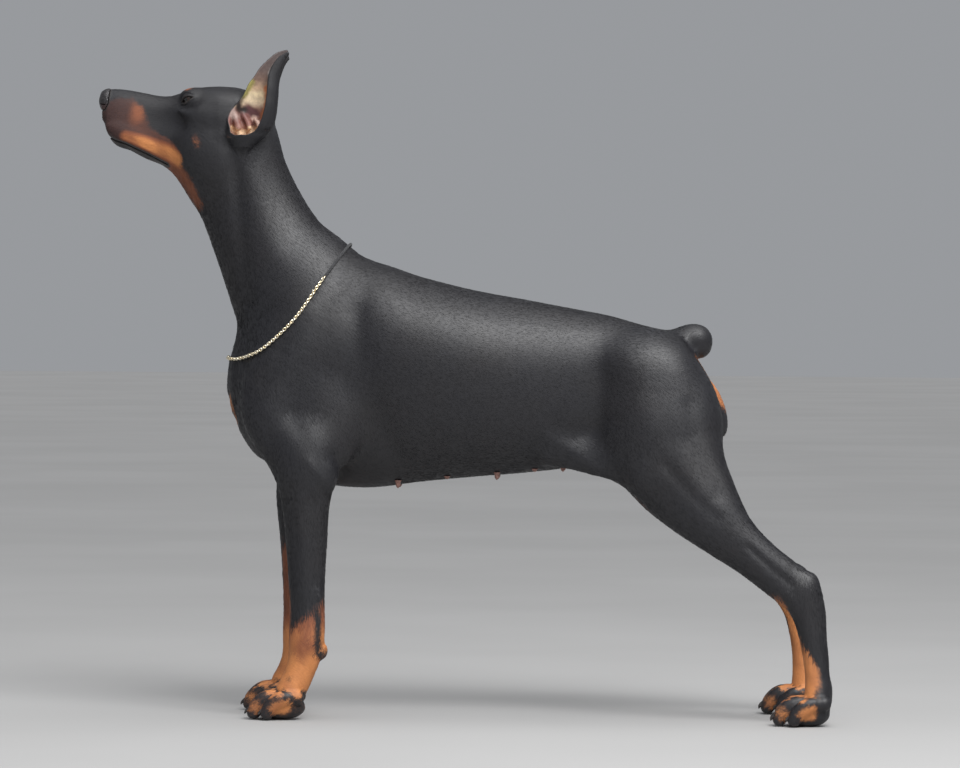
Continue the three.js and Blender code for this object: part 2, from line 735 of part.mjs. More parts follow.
function ovalOutline(inset) {
  return (row, t, pole) => {
    const size = pole ? 0 : 1;
    const wall = inset ? earWall(row) : 0;
    return [size * (row.width - wall) * Math.cos(t * 2 * Math.PI),
      size * (row.depth - wall) * Math.sin(t * 2 * Math.PI)];
  };
}

function ear(side) {
  const leaf = earLoft(EAR.slice(1), side, 20, leafOutline);
  const root = earLoft(EAR.slice(0, 3), side, 12, ovalOutline(false))
    .intersect(block(-400, -200, -120, 120, 800, EAR_FLOOR + 2));
  return leaf.add(root).subtract(headShell).subtract(neckShell);
}

function earCup(side) {
  return earLoft(EAR.slice(1, 7), side, 12, ovalOutline(true))
    .intersect(block(-400, -200, -120, 120, EAR_FLOOR, 1000));
}

for (const [, side] of SIDES) {
  headSolid = headSolid.add(toSolid(eyeball(side, EYE.radius + LID.thick))).subtract(lidOpening(side));
  headSolid = headSolid.subtract(toSolid(eyeball(side, EYE.radius + GAP))).subtract(earCup(side));
}
add('head', toGeometry(headSolid), COAT_BLACK);
add('nose', toGeometry(noseSolid), NOSE_BLACK, 0.45);
for (const [label, side] of SIDES) {
  add(`eye_${label}`, clean(eyeball(side, EYE.radius)), EYE_BROWN, 0.08);
  add(`ear_${label}`, toGeometry(ear(side)), COAT_BLACK);
}

// Trunk with shoulders and haunches, cut afterwards
const TRUNK_Z = 500;
const TRUNK_FRONT = { x: -282, z: TRUNK_Z };
const TRUNK_BACK = { x: 312, z: TRUNK_Z };
const trunkSections = () => roundedSections(TRUNK_FRONT, TRUNK_BACK, 21, 0, 1);

function trunkLimit(from, direction) {
  const cuts = [planeLimit(NECK_CUT, 40)(from, direction)];
  const floor = ELBOW_Z - 14;
  if (from.x < 0 && direction.z < 0) {
    cuts.push((from.z - floor) / -direction.z);
  }
  if (from.x > 150) {
    cuts.push(planeLimit(THIGH_CUT, 32)(from, direction));
  }
  return Math.min(400, ...cuts);
}
let trunk = toSolid(wrap(trunkSections(), 40, trunkField, { limit: trunkLimit }));

// Teats in two rows, their roots sunk in the belly
const TEATS = [[-99, 13], [-26, 6], [48, 13], [104, 6], [146, 11]];
const TEAT_Y = 24;
const TEAT_RADIUS = 4.2;
const TEAT_SUNK = 4.5;
function teat(x, length, side) {
  const cone = new THREE.SphereGeometry(1, 6, 4);
  const bottom = reach(trunkField, vec(x, side * TEAT_Y, TRUNK_Z), vec(0, 0, -1), 200, 0);
  cone.scale(TEAT_RADIUS, TEAT_RADIUS, length + TEAT_SUNK);
  cone.translate(x, side * TEAT_Y, TRUNK_Z - bottom + TEAT_SUNK);
  return toSolid(cone);
}
for (const [x, length] of TEATS) {
  trunk = trunk.add(teat(x, length, -1)).add(teat(x, length, 1));
}

const SHOULDER_CUT = [
  [-150, 640], [-178, 668], [-215, 645], [-262, 585], [-310, 500], [-322, 440], [-300, 385],
  [-290, 300], [-180, 300], [-166, 380], [-150, 450], [-146, 540],
];
const HAUNCH_CUT = [
  [225, 560], [290, 566], [345, 530], [410, 470], [420, 380], [300, 340], [180, 340], [182, 400],
  [192, 470], [205, 520],
];
const SHOULDER_DEPTH = 50;
const HAUNCH_DEPTH = 32;

function sideCut(outline, side, depth) {
  const y0 = side < 0 ? -220 : depth;
  const y1 = side < 0 ? -depth : 220;
  return slab([...outline, outline[0]], y0, y1);
}

function sideCutWide(outline, side, depth) {
  const middle = outline.reduce(([a, b], [x, z]) => [a + x / outline.length, b + z / outline.length],
    [0, 0]);
  const wide = outline.map(([x, z]) => {
    const away = Math.hypot(x - middle[0], z - middle[1]);
    const grow = 1 + GAP / away * 1.3;
    return [middle[0] + (x - middle[0]) * grow, middle[1] + (z - middle[1]) * grow];
  });
  return sideCut(wide, side, depth - GAP);
}

const belowElbow = block(-340, -150, -200, 200, 200, ELBOW_Z + GAP / 2)
  .subtract(block(-360, -140, -41, 41, 190, 400));
const belowThigh = halfSpace(THIGH_CUT, -1, -GAP).intersect(block(150, 520, -200, 200, 150, 500));
trunk = trunk.intersect(halfSpace(NECK_CUT, -1, GAP)).subtract(belowElbow).subtract(belowThigh);
for (const [label, side] of SIDES) {
  const shoulder = trunk.intersect(sideCut(SHOULDER_CUT, side, SHOULDER_DEPTH));
  const haunch = trunk.intersect(sideCut(HAUNCH_CUT, side, HAUNCH_DEPTH));
  add(`shoulder_${label}`, toGeometry(shoulder), COAT_BLACK);
  add(`thigh_${label}`, toGeometry(haunch), COAT_BLACK);
}
for (const [, side] of SIDES) {
  trunk = trunk.subtract(sideCutWide(SHOULDER_CUT, side, SHOULDER_DEPTH));
  trunk = trunk.subtract(sideCutWide(HAUNCH_CUT, side, HAUNCH_DEPTH));
}
add('torso', toGeometry(trunk), COAT_BLACK);

// Tail stub, docked, trimmed where it meets the croup
const TAIL_FRONT = { x: 316, z: 556 };
const TAIL_BACK = { x: 343, z: 558 };
const trunkShell = toSolid(wrap(trunkSections(), 40, trunkField, { limit: trunkLimit, offset: GAP }));
const tailWrap = wrap(roundedSections(TAIL_FRONT, TAIL_BACK, 3, 0, 1), 18, tailBody);
add('tail', toGeometry(toSolid(tailWrap).subtract(trunkShell)), COAT_BLACK);

// Position of a leg's axis at a height, from its stations
function axisAt(stations, z) {
  let i = 0;
  while (i < stations.length - 2 && stations[i + 1][1] > z) {
    i += 1;
  }
  const [a, b] = [stations[i], stations[i + 1]];
  const t = (a[1] - z) / (a[1] - b[1]);
  return [a[0] + (b[0] - a[0]) * t, a[2] + (b[2] - a[2]) * t];
}

// Closes a list of sections with a flat face at each end
function closed(sections) {
  const first = sections[0];
  const last = sections[sections.length - 1];
  return [{ ...first, flat: true }, ...sections, { ...last, flat: true }];
}

// Level sections down a leg
function levelSections(stations, heights, side, shift) {
  return closed(heights.map((z) => {
    const [x, y] = axisAt(stations, z);
    return section(x - farShift(z, side, shift), side * y, z, 1, 0);
  }));
}

// Keeps the rays of one leg on its own side of the body
function ownSide(from, direction) {
  const toMiddle = (3 - Math.abs(from.y)) / (direction.y * Math.sign(from.y));
  return toMiddle > 0 ? toMiddle : 300;
}

const FOREARM_HEIGHTS = [ELBOW_Z - GAP / 2, 330, 300, 268, 236, 204, 172, 146, CARPUS_Z + GAP / 2];
for (const [label, side] of SIDES) {
  const sections = levelSections(FORELEG, FOREARM_HEIGHTS, side, FORE_FAR_SHIFT);
  add(`forearm_${label}`, wrap(sections, 18, foreField, { limit: ownSide }), COAT_BLACK);
}

// Hind leg sections turn from the thigh cut to lie across the leg
function turnedSections(rows, side) {
  return closed(rows.map(([x, z, y, degrees]) => {
    const turn = THREE.MathUtils.degToRad(degrees);
    const at = x - farShift(z, side, HIND_FAR_SHIFT);
    const drop = (at - x) * Math.tan(turn);
    return section(at, side * y, z + drop, Math.cos(turn), Math.sin(turn));
  }));
}
const THIGH_TURN = THREE.MathUtils.radToDeg(Math.atan2(THIGH_CUT.dz, THIGH_CUT.dx));
const HOCK_TURN = THREE.MathUtils.radToDeg(Math.atan2(HOCK_CUT.dz, HOCK_CUT.dx));
const GASKIN = [
  [THIGH_CUT.x, THIGH_CUT.z - GAP / 2, 67, THIGH_TURN], [300, 384, 70, 16], [313, 368, 73, 22],
  [330, 349, 78, 29], [347, 329, 82, 36], [371, 302, 87, 42], [396, 276, 91, 45],
  [422, 253, 94, 46], [448, 232, 96, 46], [HOCK_CUT.x, HOCK_CUT.z + GAP / 2, 97, HOCK_TURN],
];
const HOCK = [
  [HOCK_CUT.x, HOCK_CUT.z - GAP / 2, 97, HOCK_TURN], [483, 202, 97.5, 38], [492, 191, 98, 28],
  [501, 176, 98.5, 18], [507, 158, 99, 10], [512, 135, 100.5, 5], [517, 110, 102, 2],
  [521, 88, 103, 1], [HIND_PASTERN_CUT.x, HIND_PASTERN_CUT.z + GAP / 2, 103, 0],
];
for (const [label, side] of SIDES) {
  const limit = ownSide;
  add(`gaskin_${label}`, wrap(turnedSections(GASKIN, side), 20, hindField, { limit }), COAT_BLACK);
  add(`hock_${label}`, wrap(turnedSections(HOCK, side), 18, hindField, { limit }), COAT_RUST);
}

// Paws stand on the outline of their toes and pads, drawn in a little at the floor
const SOLE_HEIGHT = 15;
const SOLE_INSET = 4.5;
const TOE_WARP = -0.42;
const onFloor = (field) => (x, y, z) => {
  const low = Math.max(SOLE_HEIGHT - z, 0) / SOLE_HEIGHT;
  return field(x, y, Math.max(z, SOLE_HEIGHT)) + SOLE_INSET * low ** 3;
};
const FORE_PAW_HEIGHTS = [CARPUS_Z - GAP / 2, 110, 98, 86, 73, 60, 49, 40, 32, 24, 15, 6, 0];
const HIND_PAW_HEIGHTS = [HIND_PASTERN_CUT.z - GAP / 2, 62, 52, 43, 34, 25, 15, 6, 0];
const FORE_PAW_AXIS = [...FORELEG.slice(0, -1), [-261, 40, FORE_Y], [-266, 0, FORE_Y]];
const HIND_PAW_AXIS = [...HINDLEG.slice(0, -2), [522, 50, 104], [513, 32, 105], [508, 0, 105]];

function pawSolid(field, axis, heights, side, shift, offset) {
  const sections = levelSections(axis, heights, side, shift);
  return toSolid(wrap(sections, 32, onFloor(field), { limit: ownSide, warp: TOE_WARP, offset }));
}

// Claw: a short bent cone, its root inside the toe
const CLAW = { length: 19, radius: 3.6, height: 17, drop: 7 };
function claw(x, y, size) {
  const cone = new THREE.SphereGeometry(1, 6, 5);
  const position = cone.attributes.position;
  for (let i = 0; i < position.count; i += 1) {
    const t = (1 - position.getY(i)) / 2;
    const radius = CLAW.radius * size * (1 - 0.75 * t);
    const bend = CLAW.drop * t * t;
    position.setXYZ(i, x - CLAW.length * size * t, y + position.getX(i) * radius * 0.8,
      CLAW.height * size - bend + position.getZ(i) * radius);
  }
  return toSolid(cone);
}

function addPaw(name, label, side, field, axis, heights, paw) {
  const solid = pawSolid(field, axis, heights, side, paw.shift, 0);
  const shell = pawSolid(field, axis, heights, side, paw.shift, GAP);
  add(`${name}_paw_${label}`, toGeometry(solid), COAT_RUST);
  TOES.forEach((toe, i) => {
    const x = paw.x - toe.forward - TOE_STRIDE - farShift(0, side, paw.shift);
    const y = side * (paw.y + toe.side);
    const piece = claw(x, y, toe.size).subtract(shell);
    add(`${name}_claw_${label}_${i + 1}`, toGeometry(piece), CLAW_BLACK, 0.4);
  });
}
for (const [label, side] of SIDES) {
  addPaw('fore', label, side, foreField, FORE_PAW_AXIS, FORE_PAW_HEIGHTS, FORE_PAW);
  addPaw('hind', label, side, hindField, HIND_PAW_AXIS, HIND_PAW_HEIGHTS, HIND_PAW);
}

// Collar chain: a ring that lies on the skin along its route in the side view
function skinWidth(x, z) {
  let near = 0;
  let far = 150;
  for (let i = 0; i < 24; i += 1) {
    const middle = (near + far) / 2;
    if (neckField(x, middle, z) < 0) {
      near = middle;
    } else {
      far = middle;
    }
  }
  return near;
}

function skinNormal(p) {
  const step = 0.5;
  const here = neckField(p.x, p.y, p.z);
  return vec(neckField(p.x + step, p.y, p.z) - here, neckField(p.x, p.y + step, p.z) - here,
    neckField(p.x, p.y, p.z + step) - here).normalize();
}

// Where the route crosses the skin on the middle line, near one of its ends
function routeEnd(route, end) {
  let [inside, outside] = [0.5, end];
  for (let i = 0; i < 24; i += 1) {
    const middle = (inside + outside) / 2;
    const at = route.getPoint(middle);
    if (neckField(at.x, 0, at.y) < 0) {
      inside = middle;
    } else {
      outside = middle;
    }
  }
  return inside;
}

function collarRing() {
  const steps = 66;
  const route = new THREE.SplineCurve(COLLAR.map(([x, z]) => new THREE.Vector2(x, z)));
  const [front, back] = [routeEnd(route, 0), routeEnd(route, 1)];
  const place = (turn) => {
    const at = route.getPoint(front + (back - front) * (1 - Math.cos(turn)) / 2);
    return vec(at.x, Math.sign(Math.sin(turn)) * skinWidth(at.x, at.y), at.y);
  };
  const ring = new THREE.TorusGeometry(1, 0.1, 6, steps);
  const position = ring.attributes.position;
  for (let i = 0; i < position.count; i += 1) {
    const x = position.getX(i);
    const y = position.getY(i);
    const turn = Math.round(Math.atan2(y, x) / (2 * Math.PI) * steps) / steps * 2 * Math.PI + 0.02;
    const p = place(turn);
    const along = place(turn + 0.03).sub(place(turn - 0.03)).normalize();
    const normal = skinNormal(p);
    const across = along.clone().cross(normal).normalize();
    const out = (Math.hypot(x, y) - 1) * 10 * CHAIN_RADIUS;
    const over = position.getZ(i) * 10 * CHAIN_RADIUS;
    p.addScaledVector(normal, CHAIN_RADIUS + 0.6 + out).addScaledVector(across, over);
    position.setXYZ(i, p.x, p.y, p.z);
  }
  return toSolid(ring).subtract(neckShell).subtract(trunkShell);
}
const collar = collarRing();
const NAPE_X = -206;
const behindNape = (gap) => block(NAPE_X + gap, -100, -90, 90, 560, 760);
add('collar_chain', toGeometry(collar.subtract(behindNape(0))), CHAIN_GOLD, 0.3, 1);
add('collar_cord', toGeometry(collar.intersect(behindNape(GAP))), CORD_BLACK);

for (const mesh of parts) {
  mesh.geometry.computeVertexNormals();
}
const dog = new THREE.Group();
dog.name = 'doberman';
dog.add(...parts);
export default dog;
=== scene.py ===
import math

import bpy
import numpy as np
from mathutils import Matrix, Vector


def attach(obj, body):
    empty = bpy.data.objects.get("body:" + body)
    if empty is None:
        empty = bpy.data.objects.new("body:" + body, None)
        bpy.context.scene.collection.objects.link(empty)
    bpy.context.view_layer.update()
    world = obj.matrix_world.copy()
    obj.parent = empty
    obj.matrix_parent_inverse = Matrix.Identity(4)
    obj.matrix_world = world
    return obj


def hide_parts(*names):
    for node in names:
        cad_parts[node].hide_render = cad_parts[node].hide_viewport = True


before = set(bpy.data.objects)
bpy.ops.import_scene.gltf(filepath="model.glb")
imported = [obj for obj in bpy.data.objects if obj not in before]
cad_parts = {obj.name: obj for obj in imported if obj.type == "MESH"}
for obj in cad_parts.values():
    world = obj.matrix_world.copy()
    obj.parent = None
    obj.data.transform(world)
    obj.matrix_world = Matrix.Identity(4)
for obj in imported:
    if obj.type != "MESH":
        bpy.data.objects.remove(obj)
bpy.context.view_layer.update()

FAR = 1000.0
MM = 0.001

# Space between the skin and the nose leather, and height of the skin over the floor
NOSE_GAP = 0.3
SOLE_HEIGHT = 0.4

# Camera: the photograph's place and angle
CAMERA_AT = Vector((0.3262, -6.9933, 0.60))
CAMERA_AIM = Vector((0.0209, 0.0, 0.4962))
CAMERA_LENS = 176.2
CAMERA_ROLL = math.radians(0.4)

# The far legs stand further forward than the near ones: by how much at the foot and above it,
# between which heights one takes over from the other, and between which heights it fades out
FORE_FAR_SHIFT = (21, 23)
HIND_FAR_SHIFT = (14, 11)
FOOT_TOP = (60, 120)
SHIFT_SPAN = (300, 450)
FORE_Y = 82
HIND_Y = 105

# How wide forms blend where they join
NECK_BLEND, SHOULDER_BLEND, FORELEG_BLEND = 26, 30, 26
THIGH_BLEND, FLANK_BLEND, TAIL_BLEND = 34, 22, 10
TOE_BLEND, PAD_BLEND, EAR_BLEND, CUP_BLEND = 4, 7, 4, 3

EYE = np.array([-409.5, 33.5, 914.5])
EYE_RADIUS = 11.5
EYE_AXIS = np.array([-0.64, 0.76, 0.08]) / math.sqrt(0.64**2 + 0.76**2 + 0.08**2)

# Head as upright sections: x, top, bottom, half width, egg, squareness
HEAD = [
    (-545, 927, 884, 15, -0.10, 2.3), (-537, 932, 865, 21, -0.12, 2.4),
    (-524, 933, 852, 24.5, -0.16, 2.5), (-505, 931, 841, 26.5, -0.18, 2.5),
    (-482, 927, 829, 28.5, -0.16, 2.5), (-460, 923, 820, 31.5, -0.10, 2.4),
    (-443, 923, 809, 36, -0.04, 2.3), (-424, 929, 788, 42, 0.04, 2.3),
    (-404, 935, 768, 46, 0.12, 2.3), (-380, 934.5, 770, 49, 0.16, 2.3),
    (-350, 926.5, 790, 49, 0.12, 2.2), (-322, 917, 822, 42, 0.05, 2.1),
    (-298, 903, 850, 26, 0, 2),
]
TORSO = [
    (-353, 531, 487, 26, 0, 2), (-347, 552, 450, 44, 0, 2), (-333, 580, 417, 58, 0, 2.1),
    (-304, 618, 382, 74, 0.03, 2.1), (-255, 640, 355, 82, 0.10, 2.1),
    (-200, 660, 343, 88, 0.16, 2.1), (-138, 676, 340, 96, 0.20, 2.1),
    (-68, 656, 349, 102, 0.16, 2.1), (10, 637, 357, 100, 0.10, 2.2),
    (90, 623, 364, 90, 0.06, 2.2), (155, 611, 373, 79, 0.04, 2.3),
    (214, 600, 395, 72, 0.04, 2.3), (273, 584, 424, 66, 0.04, 2.2),
    (315, 574, 438, 54, 0.04, 2.1), (342, 552, 448, 40, 0, 2),
]

# Limbs as stations along a bent axis: x, z, y, half depth, half width
NECK = [
    (-351, 880, 0, 52, 44), (-350, 842, 0, 70, 49), (-340, 798, 0, 74, 50),
    (-320, 752, 0, 76, 51), (-298, 706, 0, 81, 56), (-276, 667, 0, 89, 64),
    (-251, 632, 0, 102, 73), (-230, 600, 0, 110, 80), (-212, 560, 0, 108, 84),
]
SHOULDER = [
    (-176, 636, 38, 22, 13), (-204, 594, 55, 42, 22), (-240, 540, 67, 56, 25),
    (-270, 482, 72, 56, 25), (-276, 446, 75, 50, 26), (-256, 408, 79, 46, 27),
    (-233, 376, 82, 41, 28),
]
FORELEG = [
    (-230, 400, 82, 40, 28), (-231.5, 352, 82, 40.5, 28), (-231.5, 308, 82, 35, 26),
    (-230, 262, 82, 31.5, 23.5), (-229.5, 216, 82, 28.5, 21), (-229, 177, 82, 27, 19.5),
    (-228.5, 147, 82, 27, 21), (-229, 120, 82, 27, 22), (-231, 98, 82, 25, 20.5),
    (-236, 78, 82, 22.5, 19.5), (-243, 60, 82, 22, 21), (-252, 42, 82, 22.5, 24),
]
HINDLEG = [
    (278, 522, 44, 50, 30), (281, 490, 55, 70, 42), (288, 440, 61, 85, 46),
    (301, 404, 66, 81, 43), (320, 366, 74, 71, 39), (347, 329, 82, 59, 34),
    (370, 302, 87, 48.5, 30), (394, 277, 91, 40, 26), (420, 255, 94, 34.5, 23),
    (446, 234, 96, 32.5, 21), (472, 214, 97, 32.5, 19), (496.5, 194, 98, 31.5, 19),
    (510.5, 163, 99, 25.5, 18.5), (516.5, 128, 101, 21, 17), (521, 98, 102, 19.3, 16.5),
    (523, 74, 103, 18.5, 17), (525, 54, 104, 20.5, 20), (524, 38, 105, 21, 24),
]
TAIL = [
    (300, 546, 0, 24, 24), (326, 561, 0, 25, 23), (342, 564, 0, 24.5, 22), (346, 556, 0, 20.5, 20),
]
FLANK = [
    (136, 400, 50, 24, 14), (178, 393, 58, 26, 13), (220, 388, 64, 31, 15), (262, 380, 70, 34, 20),
]

# Muscles and bones under the skin: centre, radii, pitch in the side view, blend
LUMPS = [
    ((-333, 0, 494), (20, 34, 44), -6, 18),
    ((-298, 36, 428), (32, 28, 50), 24, 20),
    ((-204, 72, 442), (48, 27, 72), 14, 22),
    ((266, 50, 526), (60, 30, 36), -12, 34),
    ((352, 42, 462), (26, 30, 58), 16, 24),
    ((366, 0, 464), (20, 19, 48), 20, 22),
]
FORELEG_LUMPS = [
    ((-201, 90, 366), (15, 14, 22), 8, 16),
    ((-205.5, 82, 101), (8.5, 9.5, 12.5), -8, 5),
]
HINDLEG_LUMPS = [
    ((274, 83, 366), (26, 20, 34), 40, 20),
    ((508.5, 98, 206), (13, 12, 18), -30, 14),
]
HEAD_LUMPS = [
    ((-398, 41, 895), (42, 14, 14), -8, 16),
    ((-411, 27, 925), (16, 12, 8), 8, 10),
    ((-372, 30, 912), (40, 20, 18), 0, 18),
    ((-392, 34, 846), (30, 17, 40), 26, 20),
    ((-309, 0, 906), (22, 16, 14), -28, 16),
    ((-497, 21, 861), (44, 7.5, 11), -22, 9),
    ((-520, 0, 855), (16, 15, 8), -26, 8),
    ((-541, 0, 916), (10, 17, 15.5), -8, 7),
]
HEAD_HOLLOWS = [
    ((-430, 49, 912), (22, 12, 12), -10, 16),
    ((-458, 47, 888), (34, 12, 16), -14, 18),
]

# Ear as a rolled leaf: x, y, z, half width, half depth, lean, and where its open side starts
# and ends
EAR = [
    (-334, 50, 846, 18, 11, 0, 1.75, 1.85), (-328, 52, 859, 29, 15, 0, 1.75, 1.85),
    (-325, 52.5, 866, 32, 16.5, 0, 1.22, 2.45), (-320, 54, 876, 34.5, 19, 0, 1.1, 2.75),
    (-317, 56, 893, 35.5, 20, 0.04, 1, 3.45), (-311.5, 58, 908, 32, 18.5, 0.08, 1, 3.62),
    (-306, 59, 921, 27.5, 16, 0.13, 1.06, 3.66), (-302, 60, 934, 24.6, 14, 0.2, 1.13, 3.66),
    (-297.2, 60, 945.4, 20.4, 12, 0.28, 1.26, 3.68),
    (-292.2, 60.5, 956.8, 17.4, 9.5, 0.4, 1.38, 3.7),
    (-284.2, 61, 968.2, 13.6, 7, 0.6, 1.5, 3.75), (-275.2, 61, 979, 9.8, 4.8, 0.85, 1.5, 3.8),
    (-264.5, 61, 985.2, 4.8, 2.6, 1.2, 1.5, 3.8),
]
EAR_WALL = 3.4
EAR_THINNEST = 2.4
EAR_FLOOR = 861
EAR_FAR_SHIFT = 10

MOUTH = [
    (-556, 876), (-545, 870), (-535, 861), (-522, 854.5), (-508, 850), (-494, 843.5),
    (-478, 836), (-462, 828), (-446, 820),
]
NOSE_CUT = [(-538, 990), (-534, 931), (-536, 910), (-541, 901), (-620, 898)]

# Toes: sideways offset, forward offset, size. Then the middles of the paws, the height below
# which paws are worked out, and how far from the middle their dark hair reaches
TOES = [(-25, -21, 0.96), (-10, 0, 1), (10, 0, 1), (25, -21, 0.96)]
FORE_PAW_X = -271
HIND_PAW_X = 503
PAW_TOP = 92
PAW_REACH = 70

# Teats in pairs under the belly: x and length
TEATS = [(-99, 13), (-26, 6), (48, 13), (104, 6), (146, 11)]
TEAT_Y = 24

# Plane of the collar in the side view: x, z
COLLAR = [
    (-362, 533), (-335, 531), (-303, 542), (-273, 566), (-244, 597), (-214, 642), (-172, 706),
]


def smooth(value, low, high):
    """A soft step from 0 at low to 1 at high."""
    t = np.clip((value - low) / (high - low), 0, 1)
    return t * t * (3 - 2 * t)


def mix(a, b, share):
    return a + (b - a) * share


def mirrored(p):
    """Points with y made positive, for forms that the two sides share."""
    return np.abs(p * (0, 1, 0)) + p * (1, 0, 1)


def unit(vectors):
    return vectors / np.maximum(np.linalg.norm(vectors, axis=1), 1e-9)[:, None]


def along_surface(vectors, normals):
    """Vectors without their part along the normals."""
    return vectors - normals * (vectors * normals).sum(1)[:, None]


def circle(count):
    """Angles spread round a circle."""
    return np.arange(count) / count * 2 * math.pi


def cubic(a, b, c, d, t):
    """A smooth line from b to c, with a before them and d after them."""
    return 0.5 * (2 * b + (c - a) * t + (2 * a - 5 * b + 4 * c - d) * t**2
                  + (3 * b - a - 3 * c + d) * t**3)


def curve(rows, pieces):
    """Points of a smooth line through rows, with the ends held."""
    rows = np.array(rows, float)
    t = np.arange(pieces)[:, None] / pieces
    out = []
    for i in range(len(rows) - 1):
        a, b, c, d = (rows[min(max(i + k, 0), len(rows) - 1)] for k in (-1, 0, 1, 2))
        out.append(cubic(a, b, c, d, t))
    return np.vstack(out + [rows[-1:]])


def union(a, b, blend):
    h = np.maximum(blend - np.abs(a - b), 0)
    return np.minimum(a, b) - h * h / (4 * blend)


def carve(a, b, blend):
    return -union(-a, b, blend)


def section_body(rows):
    """Field of a body given by upright sections; a field is below 0 inside a form."""
    rows = np.array(rows, float)
    xs = rows[:, 0]
    held = np.vstack([rows[:1], rows, rows[-1:]])[:, 1:]

    def shape(x, y, z):
        i = np.clip(np.searchsorted(xs, x) - 1, 0, len(xs) - 2)
        t = ((x - xs[i]) / (xs[i + 1] - xs[i]))[:, None]
        v = cubic(held[i], held[i + 1], held[i + 2], held[i + 3], t)
        top, bottom, width, egg, n = v.T
        e = (z - (top + bottom) / 2) * 2 / (top - bottom)
        side = y / (width * (1 + egg * np.clip(e, -1.2, 1.2)))
        return (np.abs(e)**n + np.abs(side)**n)**(1 / n) - 1

    def at(p):
        x, y, z = p.T
        step, edge = 0.5, 0.01
        inside = np.clip(x, xs[0] + edge, xs[-1] - (step + edge))
        g = shape(inside, y, z)
        along = (shape(inside + step, y, z) - g) * np.exp(-2 * np.maximum(g, 0))
        slope = np.sqrt(along**2 + (shape(inside, y + step, z) - g)**2
                        + (shape(inside, y, z + step) - g)**2) / step
        d = g / np.maximum(slope, 0.002)
        out = np.abs(x - inside)
        return np.where(out == 0, d, np.hypot(np.maximum(d, 0), out))
    reach = rows[:, 3].max() * 1.3
    return near(at, (xs[0], -reach, rows[:, 2].min()), (xs[-1], reach, rows[:, 1].max()))


def near(at, low, high, margin=50):
    """A field that is only worked out close to a box, and is far elsewhere."""
    low, high = np.array(low) - margin, np.array(high) + margin

    def boxed(p):
        out = np.full(len(p), FAR)
        k = np.flatnonzero(np.all((p > low) & (p < high), axis=1))
        if len(k):
            out[k] = at(p[k])
        return out
    return boxed


def nearest(x, z, a, b):
    """Share of the way from a to b that lies closest in the side view, and how far away it is."""
    ux, uz = b[0] - a[0], b[1] - a[1]
    t = np.clip(((x - a[0]) * ux + (z - a[1]) * uz) / (ux * ux + uz * uz), 0, 1)
    return t, np.hypot(x - a[0] - ux * t, z - a[1] - uz * t)


def limb(rows, pieces=5):
    """Field of a limb given by stations along a bent axis."""
    rows = curve(rows, pieces)
    groups = []
    for i in range(0, len(rows) - 1, pieces):
        part = rows[i:i + pieces + 1]
        size = part[:, 3:].max()
        low = part[:, [0, 2, 1]].min(0) - size
        high = part[:, [0, 2, 1]].max(0) + size

        def at(p, part=part):
            x, y, z = p.T
            best = np.full(len(p), FAR)
            for a, b in zip(part[:-1], part[1:]):
                t, gap = nearest(x, z, a, b)
                r, w = mix(a[3], b[3], t), mix(a[4], b[4], t)
                e = gap / r
                s = (y - a[2] - (b[2] - a[2]) * t) / w
                g = np.hypot(e, s)
                best = np.minimum(best, (g - 1) * g / np.maximum(np.hypot(e / r, s / w), 1e-6))
            return best
        groups.append(near(at, low, high))
    return lambda p: np.minimum.reduce([g(p) for g in groups])


def oval_place(p, centre, radii, pitch):
    """Places in the axes of an oval form, whose surface lies at 1 from its centre."""
    cos, sin = math.cos(math.radians(pitch)), math.sin(math.radians(pitch))
    dx, dy, dz = (p - centre).T
    return (dx * cos + dz * sin) / radii[0], dy / radii[1], (dz * cos - dx * sin) / radii[2]


def ellipsoid(c, r, pitch=0):
    def at(p):
        a, b, h = oval_place(p, c, r, pitch)
        k = np.sqrt(a * a + b * b + h * h)
        slope = np.sqrt((a / r[0])**2 + (b / r[1])**2 + (h / r[2])**2)
        return k * (k - 1) / np.maximum(slope, 1e-6)
    most = max(r)
    return near(at, np.array(c) - most, np.array(c) + most)


def far_shift(z, shift):
    """How much further forward a far leg stands than the near one at heights."""
    foot, leg = shift
    return (leg + (foot - leg) * (1 - smooth(z, *FOOT_TOP))) * (1 - smooth(z, *SHIFT_SPAN))


def shifted(p, shift):
    """Points moved to the near legs, of which the far ones are a shifted mirror image."""
    q = mirrored(p)
    q[:, 0] += np.where(p[:, 1] > 0, far_shift(p[:, 2], shift), 0)
    return q


head_body = section_body(HEAD)
torso_body = section_body(TORSO)
neck_body, shoulder_body, fore_body, hind_body, tail_body, flank_body = (
    limb(rows) for rows in (NECK, SHOULDER, FORELEG, HINDLEG, TAIL, FLANK))


def forms(rows):
    return [(ellipsoid(c, r, pitch), blend) for c, r, pitch, blend in rows]


lumps, fore_lumps, hind_lumps, head_lumps, head_hollows = (
    forms(rows) for rows in (LUMPS, FORELEG_LUMPS, HINDLEG_LUMPS, HEAD_LUMPS, HEAD_HOLLOWS))


def with_forms(d, group, p, join=union):
    """A field joined with forms one after the other."""
    for at, blend in group:
        d = join(d, at(p), blend)
    return d


def paw_forms(x, y, pad):
    out = []
    for side, forward, s in TOES:
        a, b = x - forward, y + side
        toe = limb([
            (a + 8, 34, y + side * 0.75, 12 * s, 10 * s), (a - 15, 31.5, b, 12.5 * s, 9.4 * s),
            (a - 29, 21, b, 12 * s, 9.2 * s), (a - 35, 10.5, b, 10.5 * s, 8.8 * s)], 3)
        out.append((toe, TOE_BLEND))
    return out + [(ellipsoid((x + 5, y, 18), pad), PAD_BLEND)]


fore_paw = paw_forms(FORE_PAW_X, FORE_Y, (36, 26, 19))
hind_paw = paw_forms(HIND_PAW_X, HIND_Y, (34, 26, 20))


